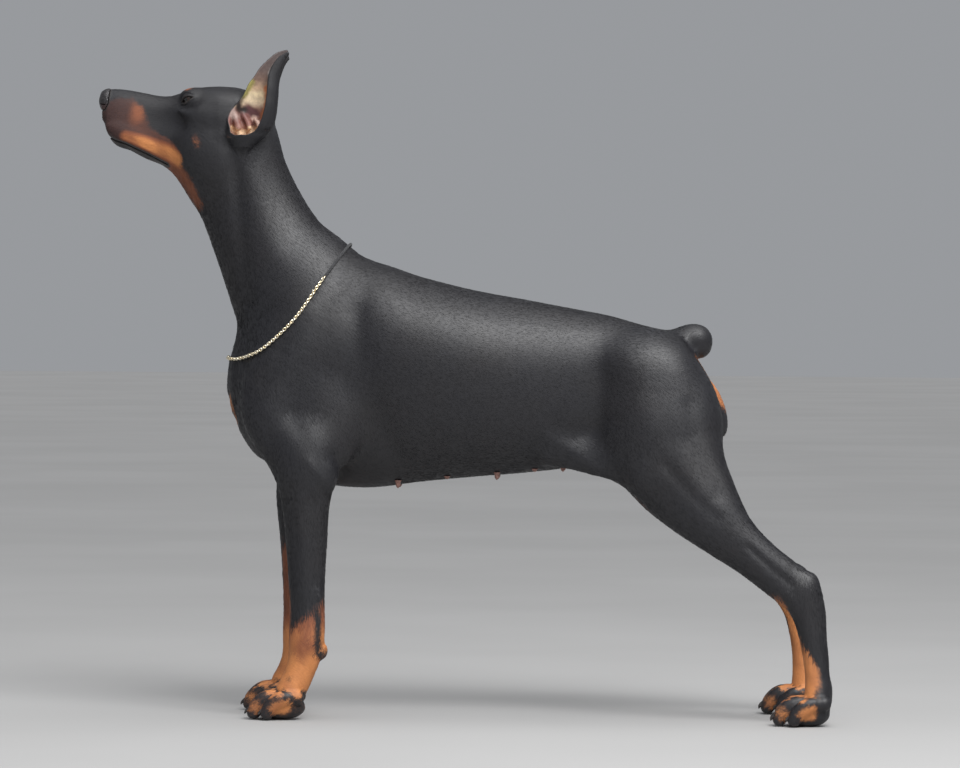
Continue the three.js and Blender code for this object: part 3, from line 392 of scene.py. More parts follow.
def ear_side(p):
    """Points moved to the near ear, which the far one mirrors a little further forward."""
    q = mirrored(p)
    q[:, 0] += np.where(p[:, 1] > 0, EAR_FAR_SHIFT, 0)
    return q


def ear_frame(p):
    """The ear's own row at points, and their places across it and through it."""
    rows = curve(EAR, 6)
    x, y, z = p.T
    lean = rows[:, 5]
    ahead = ((x[:, None] - rows[:, 0]) * np.sin(lean) + (z[:, None] - rows[:, 2]) * np.cos(lean))
    k = np.clip((ahead > 0).sum(1) - 1, 0, len(rows) - 2)
    n = np.arange(len(p))
    a, b = ahead[n, k], ahead[n, k + 1]
    t = np.clip(a / np.maximum(a - b, 1e-6), 0, 1)[:, None]
    row = (rows[k] * (1 - t) + rows[k + 1] * t).T
    beyond = np.maximum(b, 0) * (k == len(rows) - 2) + np.minimum(a, 0) * (k == 0)
    across = (x - row[0]) * np.cos(row[5]) - (z - row[2]) * np.sin(row[5])
    return row, across, y - row[1], beyond


def ear_wall(width):
    return np.clip(width * 0.3, EAR_THINNEST, EAR_WALL)


def oval_distance(u, v, a, b):
    k = np.hypot(u / a, v / b)
    return k * (k - 1) / np.maximum(np.hypot(u / a / a, v / b / b), 1e-6)


def ear_leaf(p):
    row, u, v, beyond = ear_frame(p)
    width, deep, start, end = row[3], row[4], row[6], row[7]
    wall = ear_wall(width)
    best = np.full(len(p), FAR)
    turn = 2 * math.pi - end + start
    u0, v0 = (width - wall / 2) * np.cos(end), (deep - wall / 2) * np.sin(end)
    for step in np.linspace(0, 1, 15)[1:]:
        u1 = (width - wall / 2) * np.cos(end + turn * step)
        v1 = (deep - wall / 2) * np.sin(end + turn * step)
        du, dv = u1 - u0, v1 - v0
        t = np.clip(((u - u0) * du + (v - v0) * dv) / (du * du + dv * dv + 1e-9), 0, 1)
        best = np.minimum(best, np.hypot(u - u0 - du * t, v - v0 - dv * t))
        u0, v0 = u1, v1
    root = oval_distance(u, v, width, deep)
    root = np.maximum(root, p[:, 2] - EAR_FLOOR - 2) + np.abs(beyond)
    return np.minimum(np.hypot(best, beyond) - wall / 2, root)


def ear_cup(p):
    """The hollow inside the rolled leaf, down to the floor of the ear."""
    row, u, v, beyond = ear_frame(p)
    wall = ear_wall(row[3])
    d = oval_distance(u, v, row[3] - wall, row[4] - wall)
    floor = EAR_FLOOR + 0.35 * np.maximum(-v, 0) - p[:, 2]
    return np.maximum(d, floor) + np.abs(beyond)


ear_body = near(ear_leaf, (-365, 30, 838), (-255, 90, 992), 12)
ear_hollow = near(ear_cup, (-365, 30, 860), (-255, 90, 992), 12)
mouth_line = curve(MOUTH, 4)
nose_line = np.array(NOSE_CUT, float)


def line_distance(line, x, z):
    """Distance in the side view to a line of points, and which side of it, above being positive."""
    best = np.full(len(x), FAR)
    sign = np.ones(len(x))
    for a, b in zip(line[:-1], line[1:]):
        _, d = nearest(x, z, a, b)
        nearer = d < best
        best = np.where(nearer, d, best)
        side = (b[0] - a[0]) * (z - a[1]) - (b[1] - a[1]) * (x - a[0])
        sign = np.where(nearer, np.sign(side), sign)
    return best, sign


def nose_prism(p):
    """Distance to the front part of the muzzle that the nose leather takes up."""
    d, side = line_distance(nose_line, p[:, 0], p[:, 2])
    return d * side


def eye_frame(p):
    """Angles along and up the opening of the lids, and distance from the eye's centre."""
    q = mirrored(p) - EYE
    along = np.array([-EYE_AXIS[1], EYE_AXIS[0], -0.36])
    along = along - EYE_AXIS * (along @ EYE_AXIS)
    along /= np.linalg.norm(along)
    up = np.cross(along, EYE_AXIS)
    up *= np.sign(up[2])
    r = np.linalg.norm(q, axis=1)
    out = q @ EYE_AXIS
    return np.arctan2(q @ along, out), np.arctan2(q @ up, np.maximum(out, 0.01)), r, out


# Eyelids: thickness, then angles of half the opening's length and of its two heights
LID_THICK = 2.1
LID_HALF_LENGTH = 1.0
LID_UPPER = 0.31
LID_LOWER = 0.29


def lid_opening(p):
    """Distance to the almond between the lids, measured on the eyeball."""
    h, v, r, out = eye_frame(p)
    q = np.clip(h / LID_HALF_LENGTH, -1, 1)
    limit = np.where(v > 0, LID_UPPER, LID_LOWER) * (1 - q * q)**0.9
    d = np.maximum(np.abs(v) - limit, (np.abs(h) - LID_HALF_LENGTH) * 0.6) * EYE_RADIUS
    return np.where(out > 0, d, 20), r, h, v, out


def eyelids(d, p):
    a, r, h, v, out = lid_opening(p)
    ball = r - EYE_RADIUS
    d = union(d, ball - LID_THICK, 8)
    bow = 1 - 0.45 * (h / 1.1)**2
    crease = np.abs(v - 0.74 * bow) * EYE_RADIUS
    lower = np.abs(v + 0.62 * bow) * EYE_RADIUS
    front = smooth(out, 0, 4) * smooth(np.abs(h), 1.25, 0.8) * smooth(r, 20, 15)
    d = d + 0.75 * front * np.exp(-(crease / 1.2)**2) + 0.6 * front * np.exp(-(lower / 1.1)**2)
    d = carve(d, np.maximum(a, -out), 0.9)
    return np.maximum(d, -np.maximum(ball - 0.2, 2 - out))


# The head's field is worked out above and in front of these
HEAD_ABOVE = 690
HEAD_BEFORE = -225

# Regions in which fine forms are worked out: ranges of x, of y on either side, and of z
EYE_REGION = ((-440, -375), (10, 60), (890, 940))
LIPS_REGION = ((-560, -425), (-1, 50), (795, 900))
FOLDS_REGION = ((-372, -285), (34, 80), (856, 912))
NOSE_REGION = ((-570, -515), (-1, 40), (890, 950))
EAR_REGION = ((-380, -255), (30, 95), (855, 995))
HOLLOW_REGION = ((-380, -255), (30, 95), (858, 995))


def within(p, region):
    """Numbers of the points that lie in a region."""
    x, y, z = p[:, 0], np.abs(p[:, 1]), p[:, 2]
    (a, b), (c, d), (e, f) = region
    return np.flatnonzero((x > a) & (x < b) & (y > c) & (y < d) & (z > e) & (z < f))


def head_field(p):
    side = mirrored(p)
    d = union(head_body(p), neck_body(p), NECK_BLEND)
    d = with_forms(d, head_lumps, side)
    d = with_forms(d, head_hollows, side, carve)
    k = within(p, EYE_REGION)
    if len(k):
        d[k] = eyelids(d[k], p[k])
    ear = ear_side(p)
    d = carve(d, ear_hollow(ear), CUP_BLEND)
    return union(d, ear_body(ear), EAR_BLEND)


def trunk_field(p):
    side, fore, hind = mirrored(p), shifted(p, FORE_FAR_SHIFT), shifted(p, HIND_FAR_SHIFT)
    d = union(torso_body(p), neck_body(p), NECK_BLEND)
    d = union(d, shoulder_body(side), SHOULDER_BLEND)
    d = union(d, hind_body(hind), THIGH_BLEND)
    d = union(d, flank_body(side), FLANK_BLEND)
    d = union(d, fore_body(fore), FORELEG_BLEND)
    for group, q in ((lumps, side), (fore_lumps, fore), (hind_lumps, hind)):
        d = with_forms(d, group, q)
    d = union(d, tail_body(p), TAIL_BLEND)
    low = np.flatnonzero(p[:, 2] < PAW_TOP)
    if len(low):
        d[low] = with_forms(with_forms(d[low], fore_paw, fore[low]), hind_paw, hind[low])
    return d


def coat_depth(p):
    """How far the skin lies under the coat: less on the face and feet, least on lids and ears."""
    x, y, z = mirrored(p).T
    depth = 1.3 - 0.7 * np.maximum(smooth(z - 0.2 * x, 800, 960), smooth(z, 160, 40))
    eye = np.sqrt((x - EYE[0])**2 + (y - EYE[1])**2 + (z - EYE[2])**2)
    depth *= 0.15 + 0.85 * smooth(eye, 15, 24)
    low = smooth(y, 44, 54) * smooth(x, -378, -366) * smooth(z, 854, 866)
    high = smooth(z, 922, 932) * smooth(x, -356, -344)
    leaf = smooth(y, 35, 39) * smooth(x, -348, -338) * smooth(z, 890, 899)
    return depth * (1 - 0.8 * np.maximum.reduce([low, high, leaf]) * (x < -240))


def body_field(p):
    d = trunk_field(p)
    k = np.flatnonzero((p[:, 2] > HEAD_ABOVE) & (p[:, 0] < HEAD_BEFORE))
    if len(k):
        d[k] = np.minimum(d[k], head_field(p[k]))
    return d


# Furrows and swells under the coat: points in the side view, reach, depth; below 0 it swells.
# They fade towards the middle plane, and only points this close to the surface take part
RELIEF_FADE = (6, 34)
RELIEF_CLOSE = 14
RELIEF = [
    ([(-351, 846), (-342, 800), (-336, 740), (-330, 680), (-322, 620)], 12, 3.2),
    ([(-318, 830), (-306, 760), (-284, 690)], 22, -1.6),
    ([(-186, 640), (-226, 590), (-268, 545)], 15, 1.6),
    ([(-232, 600), (-262, 520), (-290, 460)], 22, -2.2),
    ([(-252, 450), (-232, 410)], 14, 0.9),
    ([(-160, 600), (-150, 520), (-128, 450), (-100, 392)], 20, 3.0),
    ([(-226, 382), (-204, 356)], 8, -1.6),
    ([(-190, 392), (-180, 366)], 7, 1.8),
    ([(203, 512), (196, 480), (202, 452)], 18, 2.2),
    ([(122, 420), (160, 398), (196, 372)], 10, -1.5),
    ([(132, 442), (172, 420), (212, 402)], 14, 1.1),
    ([(246, 520), (262, 460), (276, 410)], 26, -2.0),
    ([(330, 470), (338, 420), (352, 380), (372, 340)], 12, 1.8),
    ([(300, 380), (330, 344), (372, 306)], 10, 1.6),
    ([(420, 262), (453, 233), (484, 208)], 6, 2.2),
    ([(438, 226), (468, 200), (492, 178)], 6, -0.8),
]
FORE_RELIEF = [
    ([(-222, 330), (-218, 270), (-216, 200)], 7, 1.8),
    ([(-240, 330), (-238, 260), (-236, 190)], 8, -1.0),
    ([(-209, 190), (-207, 130)], 4, -1.2),
    ([(-214, 185), (-213, 140)], 3.5, 1.0),
]
HIND_RELIEF = [
    ([(514, 170), (520, 130), (525, 90)], 4, 1.1),
    ([(502, 150), (507, 110), (512, 80)], 5, -0.8),
]


def furrow(d, p, rows):
    for line, reach, depth in rows:
        line = np.array(line, float)
        low, high = line.min(0) - 2.5 * reach, line.max(0) + 2.5 * reach
        k = np.flatnonzero((p[:, 0] > low[0]) & (p[:, 0] < high[0])
                           & (p[:, 2] > low[1]) & (p[:, 2] < high[1])
                           & (np.abs(d) < RELIEF_CLOSE))
        if len(k):
            gap, _ = line_distance(line, p[k, 0], p[k, 2])
            d[k] += depth * np.exp(-(gap / reach)**2) * smooth(np.abs(p[k, 1]), *RELIEF_FADE)
    return d


def lips(d, p):
    """The line of the mouth, with the upper lip a little over the lower one."""
    k = within(p, LIPS_REGION)
    if len(k):
        gap, side = line_distance(mouth_line, p[k, 0], p[k, 2])
        over = gap * side
        d[k] += 2.4 * np.exp(-(gap / 0.9)**2) - 0.9 * np.exp(-((over - 4.5) / 3.2)**2)
        d[k] += 0.7 * np.exp(-((over + 3) / 2.6)**2)
    return d


def ear_folds(d, p):
    """Ridges and pits in the lower part of the ear's hollow."""
    k = within(p, FOLDS_REGION)
    if len(k):
        ear = ear_side(p[k])
        d[k] = with_forms(d[k], fold_ridges, ear)
        d[k] = with_forms(d[k], fold_pits, ear, carve)
    return d


fold_ridges = [
    (limb([(-346, 897, 46, 4.5, 5), (-341, 886, 49, 5.5, 7), (-337, 874, 54, 5, 6)], 3), 5),
    (limb([(-331, 893, 40, 4.5, 7), (-325, 884, 42, 5.5, 8), (-321, 874, 48, 4.5, 7)], 3), 5),
    (limb([(-312, 886, 44, 4, 7), (-307, 879, 50, 4.5, 6), (-306, 872, 56, 4, 5)], 3), 5),
]
fold_pits = [
    (ellipsoid((-330, 47, 870), (5, 6, 6)), 4),
    (ellipsoid((-314, 46, 873), (4.5, 6, 6)), 4),
]


def skin_field(p):
    d = ear_folds(lips(body_field(p), p), p)
    d = furrow(d, mirrored(p), RELIEF)
    d = furrow(d, shifted(p, FORE_FAR_SHIFT), FORE_RELIEF)
    d = furrow(d, shifted(p, HIND_FAR_SHIFT), HIND_RELIEF)
    d += coat_depth(p)
    k = within(p, NOSE_REGION)
    if len(k):
        d[k] = carve(d[k], nose_prism(p[k]) - NOSE_GAP, 1.0)
    k = np.flatnonzero(p[:, 2] < 12)
    if len(k):
        d[k] = -union(-d[k], p[k, 2] - SOLE_HEIGHT, 2.5)
    return d


def spread_out(field, p, size=60000):
    """The field at many points, worked out a part at a time."""
    return np.concatenate([field(p[i:i + size]) for i in range(0, len(p), size)])


COARSE = 4


def sample(field, low, high, step, coarse=COARSE):
    """The field on a grid, exact close to the surface and only its sign elsewhere."""
    low, high = np.array(low, float), np.array(high, float)
    blocks = np.ceil((high - low) / (step * coarse)).astype(int)
    axes = [low[a] + np.arange(blocks[a] + 1) * step * coarse for a in range(3)]
    points = np.stack(np.meshgrid(*axes, indexing="ij"), -1).reshape(-1, 3)
    rough = spread_out(field, points).reshape(blocks + 1)
    least = np.full(blocks, FAR)
    mixed = np.zeros(blocks, int)
    for i, j, k in np.ndindex(2, 2, 2):
        part = rough[i:blocks[0] + i, j:blocks[1] + j, k:blocks[2] + k]
        least = np.minimum(least, np.abs(part))
        mixed += part < 0
    active = (least < step * coarse * 1.15) | ((mixed > 0) & (mixed < 8))
    size = blocks * coarse + 1
    wanted = np.zeros(size, bool)
    fine = active.repeat(coarse, 0).repeat(coarse, 1).repeat(coarse, 2)
    for i, j, k in np.ndindex(2, 2, 2):
        wanted[i:size[0] - 1 + i, j:size[1] - 1 + j, k:size[2] - 1 + k] |= fine
    values = rough.repeat(coarse, 0).repeat(coarse, 1).repeat(coarse, 2)
    cut = coarse // 2
    values = values[cut:cut + size[0], cut:cut + size[1], cut:cut + size[2]].copy()
    where = np.argwhere(wanted)
    values[tuple(where.T)] = spread_out(field, low + where * step)
    return values


CORNERS = list(np.ndindex(2, 2, 2))
EDGES = [(a, b) for a in CORNERS for b in CORNERS
         if sum(np.subtract(b, a)) == 1 and min(np.subtract(b, a)) == 0]


def surface(values, low, step):
    """Closed skin of four-sided faces through the cells where the sign changes."""
    inside = values < 0
    count = np.zeros(np.subtract(values.shape, 1), np.int8)
    for c in CORNERS:
        count += inside[tuple(slice(o, s - 1 + o) for o, s in zip(c, values.shape))]
    cells = np.argwhere((count > 0) & (count < 8))
    index = np.full(count.shape, -1)
    index[tuple(cells.T)] = np.arange(len(cells))
    at = {c: values[tuple((cells + c).T)] for c in CORNERS}
    total, hits = np.zeros((len(cells), 3)), np.zeros(len(cells))
    for a, b in EDGES:
        k = np.flatnonzero((at[a] < 0) != (at[b] < 0))
        t = at[a][k] / (at[a][k] - at[b][k])
        total[k] += np.array(a) + t[:, None] * np.subtract(b, a)
        hits[k] += 1
    points = np.array(low) + step * (cells + total / hits[:, None])
    faces = []
    for axis in range(3):
        b, c = np.eye(3, dtype=int)[[(axis + 1) % 3, (axis + 2) % 3]]
        first = inside[tuple(slice(0, -1) if i == axis else slice(1, -1) for i in range(3))]
        second = inside[tuple(slice(1, None) if i == axis else slice(1, -1) for i in range(3))]
        where = np.argwhere(first != second)
        node = where + (b + c)
        quad = np.stack([index[tuple((node - m * b - n * c).T)]
                         for m, n in ((1, 1), (0, 1), (0, 0), (1, 0))], 1)
        back = ~first[tuple(where.T)]
        quad[back] = quad[back][:, ::-1]
        faces.append(quad)
    faces = np.vstack(faces)
    return points, np.vstack([faces[:, [0, 1, 2]], faces[:, [0, 2, 3]]])


def mesh_in(field, low, high, step):
    return surface(sample(field, low, high, step), low, step)


def sides_of(faces):
    """The three edges of each face, first sides first."""
    return np.vstack([faces[:, [0, 1]], faces[:, [1, 2]], faces[:, [2, 0]]])


def rim_loops(faces):
    """Open edges of a mesh, chained into loops."""
    known = {(a, b) for a, b in sides_of(faces).tolist()}
    after = {a: b for a, b in known if (b, a) not in known}
    loops = []
    while after:
        start = next(iter(after))
        loop = [start]
        here = after.pop(start)
        while here != start and here in after:
            loop.append(here)
            here = after.pop(here)
        loops.append(loop)
    return loops


def zip_up(points, one, other):
    """Faces between two open loops that lie close together."""
    other = other[::-1]
    gap = np.linalg.norm(points[other] - points[one[0]], axis=1)
    turn = int(gap.argmin())
    other = other[turn:] + other[:turn]
    i = j = 0
    faces = []
    m, n = len(one), len(other)
    while i < m or j < n:
        a, b = one[i % m], other[j % n]
        a2, b2 = one[(i + 1) % m], other[(j + 1) % n]
        to_a = np.linalg.norm(points[a2] - points[b]) if i < m else FAR
        to_b = np.linalg.norm(points[b2] - points[a]) if j < n else FAR
        if to_a <= to_b:
            faces.append((a2, a, b))
            i += 1
        else:
            faces.append((b, b2, a))
            j += 1
    return faces


def slope_of(field, p, step=0.4):
    """The field at points, and which way and how fast it grows there."""
    here = spread_out(field, p)
    grad = np.stack([spread_out(field, p + step * axis) - here for axis in np.eye(3)], 1) / step
    return here, grad


def settle(points, field, rounds=2, most=1.5):
    """Moves points onto the surface."""
    for _ in range(rounds):
        here, grad = slope_of(field, points)
        square = np.maximum((grad**2).sum(1), 0.2)
        move = np.clip(here, -most, most) / square
        points = points - move[:, None] * grad
    return points


MOST_POINTS = 4_000_000


def unique_edges(faces):
    """Edges of a mesh, and the numbers of each face's three."""
    edges = np.sort(sides_of(faces), axis=1)
    key, place = np.unique(edges[:, 0] * MOST_POINTS + edges[:, 1], return_inverse=True)
    return np.column_stack([key // MOST_POINTS, key % MOST_POINTS]), place.reshape(3, -1).T


def relax(points, faces, rounds=1, amount=0.5):
    """Evens out the mesh along the surface."""
    edges, _ = unique_edges(faces)
    ends = np.vstack([edges, edges[:, ::-1]])
    many = np.bincount(ends[:, 0], minlength=len(points))
    for _ in range(rounds):
        mean = np.stack([np.bincount(ends[:, 0], points[ends[:, 1], a], len(points))
                         for a in range(3)], 1) / np.maximum(many, 1)[:, None]
        points = points + along_surface((mean - points) * amount, vertex_normals(points, faces))
    return points


def vertex_normals(points, faces):
    a, b, c = points[faces[:, 0]], points[faces[:, 1]], points[faces[:, 2]]
    n = np.cross(b - a, c - a)
    return unit(np.stack([np.bincount(faces.ravel(), np.repeat(n[:, k], 3), len(points))
                          for k in range(3)], 1))


def refine(points, faces, field, wanted):
    """Splits the edges that are longer than wanted, keeping the mesh closed."""
    edges, place = unique_edges(faces)
    middle = (points[edges[:, 0]] + points[edges[:, 1]]) / 2
    length = np.linalg.norm(points[edges[:, 0]] - points[edges[:, 1]], axis=1)
    split = length > 1.4 * wanted(middle)
    number = np.full(len(edges), -1)
    number[split] = len(points) + np.arange(split.sum())
    fresh = settle(middle[split], field)
    points = np.vstack([points, fresh])
    mids = number[place]
    marks = (mids >= 0).sum(1)
    out = [faces[marks == 0]]
    for turn in range(3):
        f = np.roll(faces, -turn, 1)
        m = np.roll(mids, -turn, 1)
        k = (marks == 1) & (m[:, 0] >= 0)
        a, b, c, ab = f[k, 0], f[k, 1], f[k, 2], m[k, 0]
        out += [np.column_stack([a, ab, c]), np.column_stack([ab, b, c])]
        k = (marks == 2) & (m[:, 0] < 0)
        a, b, c, bc, ca = f[k, 0], f[k, 1], f[k, 2], m[k, 1], m[k, 2]
        out += [np.column_stack([bc, c, ca]), np.column_stack([a, b, bc]),
                np.column_stack([a, bc, ca])]
    k = marks == 3
    a, b, c, ab, bc, ca = *faces[k].T, *mids[k].T
    out += [np.column_stack(t) for t in ((a, ab, ca), (ab, b, bc), (ca, bc, c), (ab, bc, ca))]
    return points, np.vstack(out)


# The skin is sampled in parts, finer on the head and paws: heights between them, and steps
HEAD_FLOOR = 755
PAW_CEILING = 94
BODY_STEP = 3.6
HEAD_STEP = 1.6
PAW_STEP = 1.7
PAW_BLOCKS = 15


def paw_boxes():
    for x0, x1, y in ((-345, -185, FORE_Y), (440, 565, HIND_Y)):
        for side in (-1, 1):
            low, high = sorted((side * (y - 50), side * (y + 50)))
            yield (x0, low, PAW_CEILING - PAW_STEP * COARSE * PAW_BLOCKS), (x1, high, PAW_CEILING)


def make_skin():
    """The parts of the skin, zipped together at their open rims."""
    body_top = HEAD_FLOOR - (HEAD_FLOOR - PAW_CEILING) % (BODY_STEP * COARSE)
    parts = [
        mesh_in(skin_field, (-412, -142, PAW_CEILING), (560, 142, body_top), BODY_STEP),
        mesh_in(skin_field, (-562, -86, body_top), (-215, 86, 998), HEAD_STEP),
    ]
    parts += [mesh_in(skin_field, low, high, PAW_STEP) for low, high in paw_boxes()]
    points, faces, loops = [], [], []
    start = 0
    for i, (p, f) in enumerate(parts):
        points.append(p)
        faces.append(f + start)
        loops += [(i, [v + start for v in loop]) for loop in rim_loops(f)]
        start += len(p)
    points, faces = np.vstack(points), np.vstack(faces)
    body = [loop for i, loop in loops if i == 0]
    for i, loop in loops:
        if i == 0:
            continue
        centre = points[loop].mean(0)
        match = min(body, key=lambda b: np.linalg.norm(points[b].mean(0) - centre))
        faces = np.vstack([faces, zip_up(points, match, loop)])
    return points, faces


def wanted_edge(p):
    """Edge length that the mesh needs at points."""
    side = mirrored(p)
    out = np.full(len(p), 5.0)
    eye = np.linalg.norm(side - EYE - EYE_AXIS * 8, axis=1)
    out = np.minimum(out, 0.75 + np.maximum(eye - 17, 0) * 0.15)
    k = within(p, ((-560, -435), (-1, 60), (810, 900)))
    if len(k):
        gap, _ = line_distance(mouth_line, side[k, 0], side[k, 2])
        out[k] = np.minimum(out[k], 0.85 + np.maximum(gap - 4, 0) * 0.2)
    k = within(p, ((-370, -250), (30, 95), (842, 995)))
    if len(k):
        out[k] = np.minimum(out[k], np.where(ear_leaf(side[k]) < 3, 1.15, 3))
    k = within(p, ((-562, -515), (-1, 60), (885, 960)))
    if len(k):
        out[k] = np.minimum(out[k], 0.9 + np.maximum(np.abs(nose_prism(p[k])) - 3, 0) * 0.2)
    return out


def build(name, points, faces):
    """Makes an object of a mesh given in millimetres."""
    mesh = bpy.data.meshes.new(name)
    faces = np.asarray(faces, np.int32)
    corners = faces.shape[1]
    mesh.vertices.add(len(points))
    mesh.vertices.foreach_set("co", (np.asarray(points) * MM).astype(np.float32).ravel())
    mesh.loops.add(faces.size)
    mesh.loops.foreach_set("vertex_index", faces.ravel())
    mesh.polygons.add(len(faces))
    mesh.polygons.foreach_set("loop_start", np.arange(0, faces.size, corners, dtype=np.int32))
    mesh.update(calc_edges=True)
    mesh.polygons.foreach_set("use_smooth", np.ones(len(faces), bool))
    piece = bpy.data.objects.new(name, mesh)
    bpy.context.scene.collection.objects.link(piece)
    return piece


# Markings, in the side view's own terms, the same on both sides
def spot(q, centre, radii, pitch=0, soft=0.25):
    """1 inside a soft-edged oval patch and 0 outside it."""
    a, b, h = oval_place(q, centre, radii, pitch)
    return 1 - smooth(np.sqrt(a * a + b * b + h * h), 1 - soft, 1 + soft)


def band(q, line, radius, soft=0.3):
    """1 along a line in the side view and 0 away from it."""
    d, _ = line_distance(np.array(line, float), q[:, 0], q[:, 2])
    return 1 - smooth(d / radius, 1 - soft, 1 + soft)


def ragged(p, size, seed):
    """Smooth irregular numbers between -1 and 1, for the edges of the markings."""
    noise = np.random.default_rng(seed)
    out = np.zeros(len(p))
    for k in range(7):
        way = noise.normal(size=3)
        way /= np.linalg.norm(way) * size * (0.5 + 0.25 * k)
        out += np.sin(p @ way * 6.28 + noise.uniform(0, 6.28)) * 0.35
    return np.clip(out, -1, 1)


# Edges of the rust: its top on the muzzle as heights at x, its back there and its front on the
# hocks as x at heights, and half its width under the tail
MUZZLE_TOP = ([-560, -540, -521, -499, -486], [911, 912, 921, 920, 913])
MUZZLE_BACK = ([818, 823, 839, 854, 867, 878, 895, 908],
               [-426, -423, -425, -441, -463, -476, -481, -487])
HOCK_EDGE = ([20, 33, 53, 83, 97, 112, 126, 138, 165, 210],
             [524, 526, 530, 524, 517, 508, 497, 491, 480, 462])
VENT_WIDTH = ([470, 495, 535], [14, 34, 56])


def face_marks(side, q, lip):
    """Rust and its brightness on the head and throat."""
    x, z = q[:, 0], q[:, 2]
    top = np.interp(x, *MUZZLE_TOP)
    back = np.interp(z, *MUZZLE_BACK)
    soft = np.interp(z, [850, 880], [6, 14])
    muzzle = smooth(top - z, -8, 12) * smooth(back - x, -soft, soft)
    muzzle *= smooth(lip, 0, 5) * (z > 800)
    reach = np.interp(x, [-438, -402], [14, 8])
    throat = band(q, [(-438, 812), (-424, 803), (-412, 787), (-402, 766)], reach, 0.85) * 0.9
    chin = spot(q, (-478, 0, 818), (46, 14, 14), -28, 0.4) * 0.7
    cheek = spot(q, (-400, 50, 854), (8, 22, 12), 12, 0.8) * 0.42
    brow = spot(q, (-415, 30, 930), (8, 9, 3.6), -6, 0.6) * 0.8
    rust = np.maximum.reduce([muzzle, throat, chin, cheek, brow])

    reach = np.interp(side[:, 0], [-508, -470, -435], [8, 10, 12])
    core = band(side, [(-508, 861), (-470, 848), (-442, 835), (-429, 826)], reach, 0.75)
    core *= 0.62 + 0.38 * smooth(side[:, 0], -512, -470)
    snout = spot(side, (-488, 28, 900), (13, 30, 22), -20, 0.9) * 0.42
    plain = 0.02 + 0.13 * smooth(side[:, 0], -530, -480)
    bright = np.maximum.reduce([core, snout, plain, throat * 0.52, cheek * 1.6, brow * 0.7])
    return rust, bright


def foreleg_marks(r, q, normal, inner):
    """Rust and its brightness on the fore legs."""
    x, y, z = q.T
    leg = (x < -150) & (z < 345)
    outside = smooth(z - 138 - 0.8 * (x + 245), 19, -15)
    inside = smooth(inner, 0.2, 0.6) * smooth(z, 278, 225)
    front = smooth(-normal[:, 0], 0.75, 0.95) * smooth(z, 215, 175)
    back = smooth(normal[:, 0], 0.35, 0.75) * smooth(z, 184, 168)
    rust = np.maximum.reduce([outside, inside, front, back])
    stripe = band(r, [(-212, 160), (-211, 124), (-210, 100)], 5.5, 0.8) * smooth(-inner, -0.2, 0.3)
    rust *= 1 - 0.8 * stripe
    rust *= 1 - 0.75 * spot(r, (-202, 82, 95), (10, 12, 12), 0, 0.6)
    rust *= 1 - 0.5 * spot(q, (-254, 104, 62), (8, 12, 6), 0, 0.8)
    red = np.maximum(spot(q, (-228, 108, 112), (13, 18, 20), 0, 0.9) * 0.8, smooth(z, 112, 160))
    bright = 1 - 0.6 * red
    return np.where(leg, rust, 0), bright


def hindleg_marks(q, normal, inner):
    """Rust and its brightness on the hind legs and under the tail."""
    x, y, z = q.T
    leg = (x > 150) & (z < 430)
    shank = smooth(x - np.interp(z, *HOCK_EDGE), 7, -6) * smooth(z, 205, 165)
    strip = smooth(inner, 0.15, 0.6) * smooth(-normal[:, 0] * 0.8 - normal[:, 2] * 0.6, -0.25, 0.2)
    strip *= smooth(z, 400, 340)
    rust = np.where(leg, np.maximum(shank, strip), 0)
    under = band(q, [(344, 534), (350, 522), (364, 498), (376, 474)], 14, 0.4)
    wide = np.interp(z, *VENT_WIDTH)
    under *= smooth(y, wide + 5, wide - 4) * smooth(z, 541, 533)
    under *= np.maximum(smooth(normal[:, 0], 0.78, 0.92),
                        smooth(y, 40, 28) * smooth(normal[:, 0], 0.1, 0.4))
    bright = 1 - 0.6 * smooth(z, 130, 250) + 0.5 * smooth(z, 430, 470)
    return np.maximum(rust, under), bright


def paw_darks(r, paw, top, much):
    """Dark hair round the toes of a paw, all but the fronts and sides of the toes themselves."""
    low = smooth(r[:, 2] + ragged(r, 17, 31) * 7, top + 5, top - 6) * much
    low *= np.abs(r[:, 0] - paw[0]) < PAW_REACH
    tan = np.zeros(len(r))
    broken = r + ragged(r, 6, 33)[:, None] * np.array([2.4, 0, 2.0])
    for s, forward, _ in TOES:
        front = paw[0] - forward
        outer = forward < 0
        middle = (front - (12 if outer else 28), paw[1] + s * (1.2 if outer else 1), 19)
        reach = (15, 12, 11) if outer else (12, 9, 11)
        tan = np.maximum(tan, spot(broken, middle, reach, 0, 0.6))
    tan *= smooth(r[:, 2] + ragged(r, 8, 32) * 2, 6, 11)
    return low * (1 - 0.92 * tan)


def ear_share(p):
    """Share of the hollow of the ear at points."""
    k = within(p, HOLLOW_REGION)
    ear = np.zeros(len(p))
    if len(k):
        row, u, v, beyond = ear_frame(ear_side(p[k]))
        wall = ear_wall(row[3])
        inside = np.hypot(u / (row[3] - wall / 2), v / (row[4] - wall / 2))
        ear[k] = smooth(inside, 1.04, 0.97) * smooth(np.abs(beyond), 1, 0)
        ear[k] *= smooth(p[k, 2], EAR_FLOOR - 3, EAR_FLOOR)
    return ear


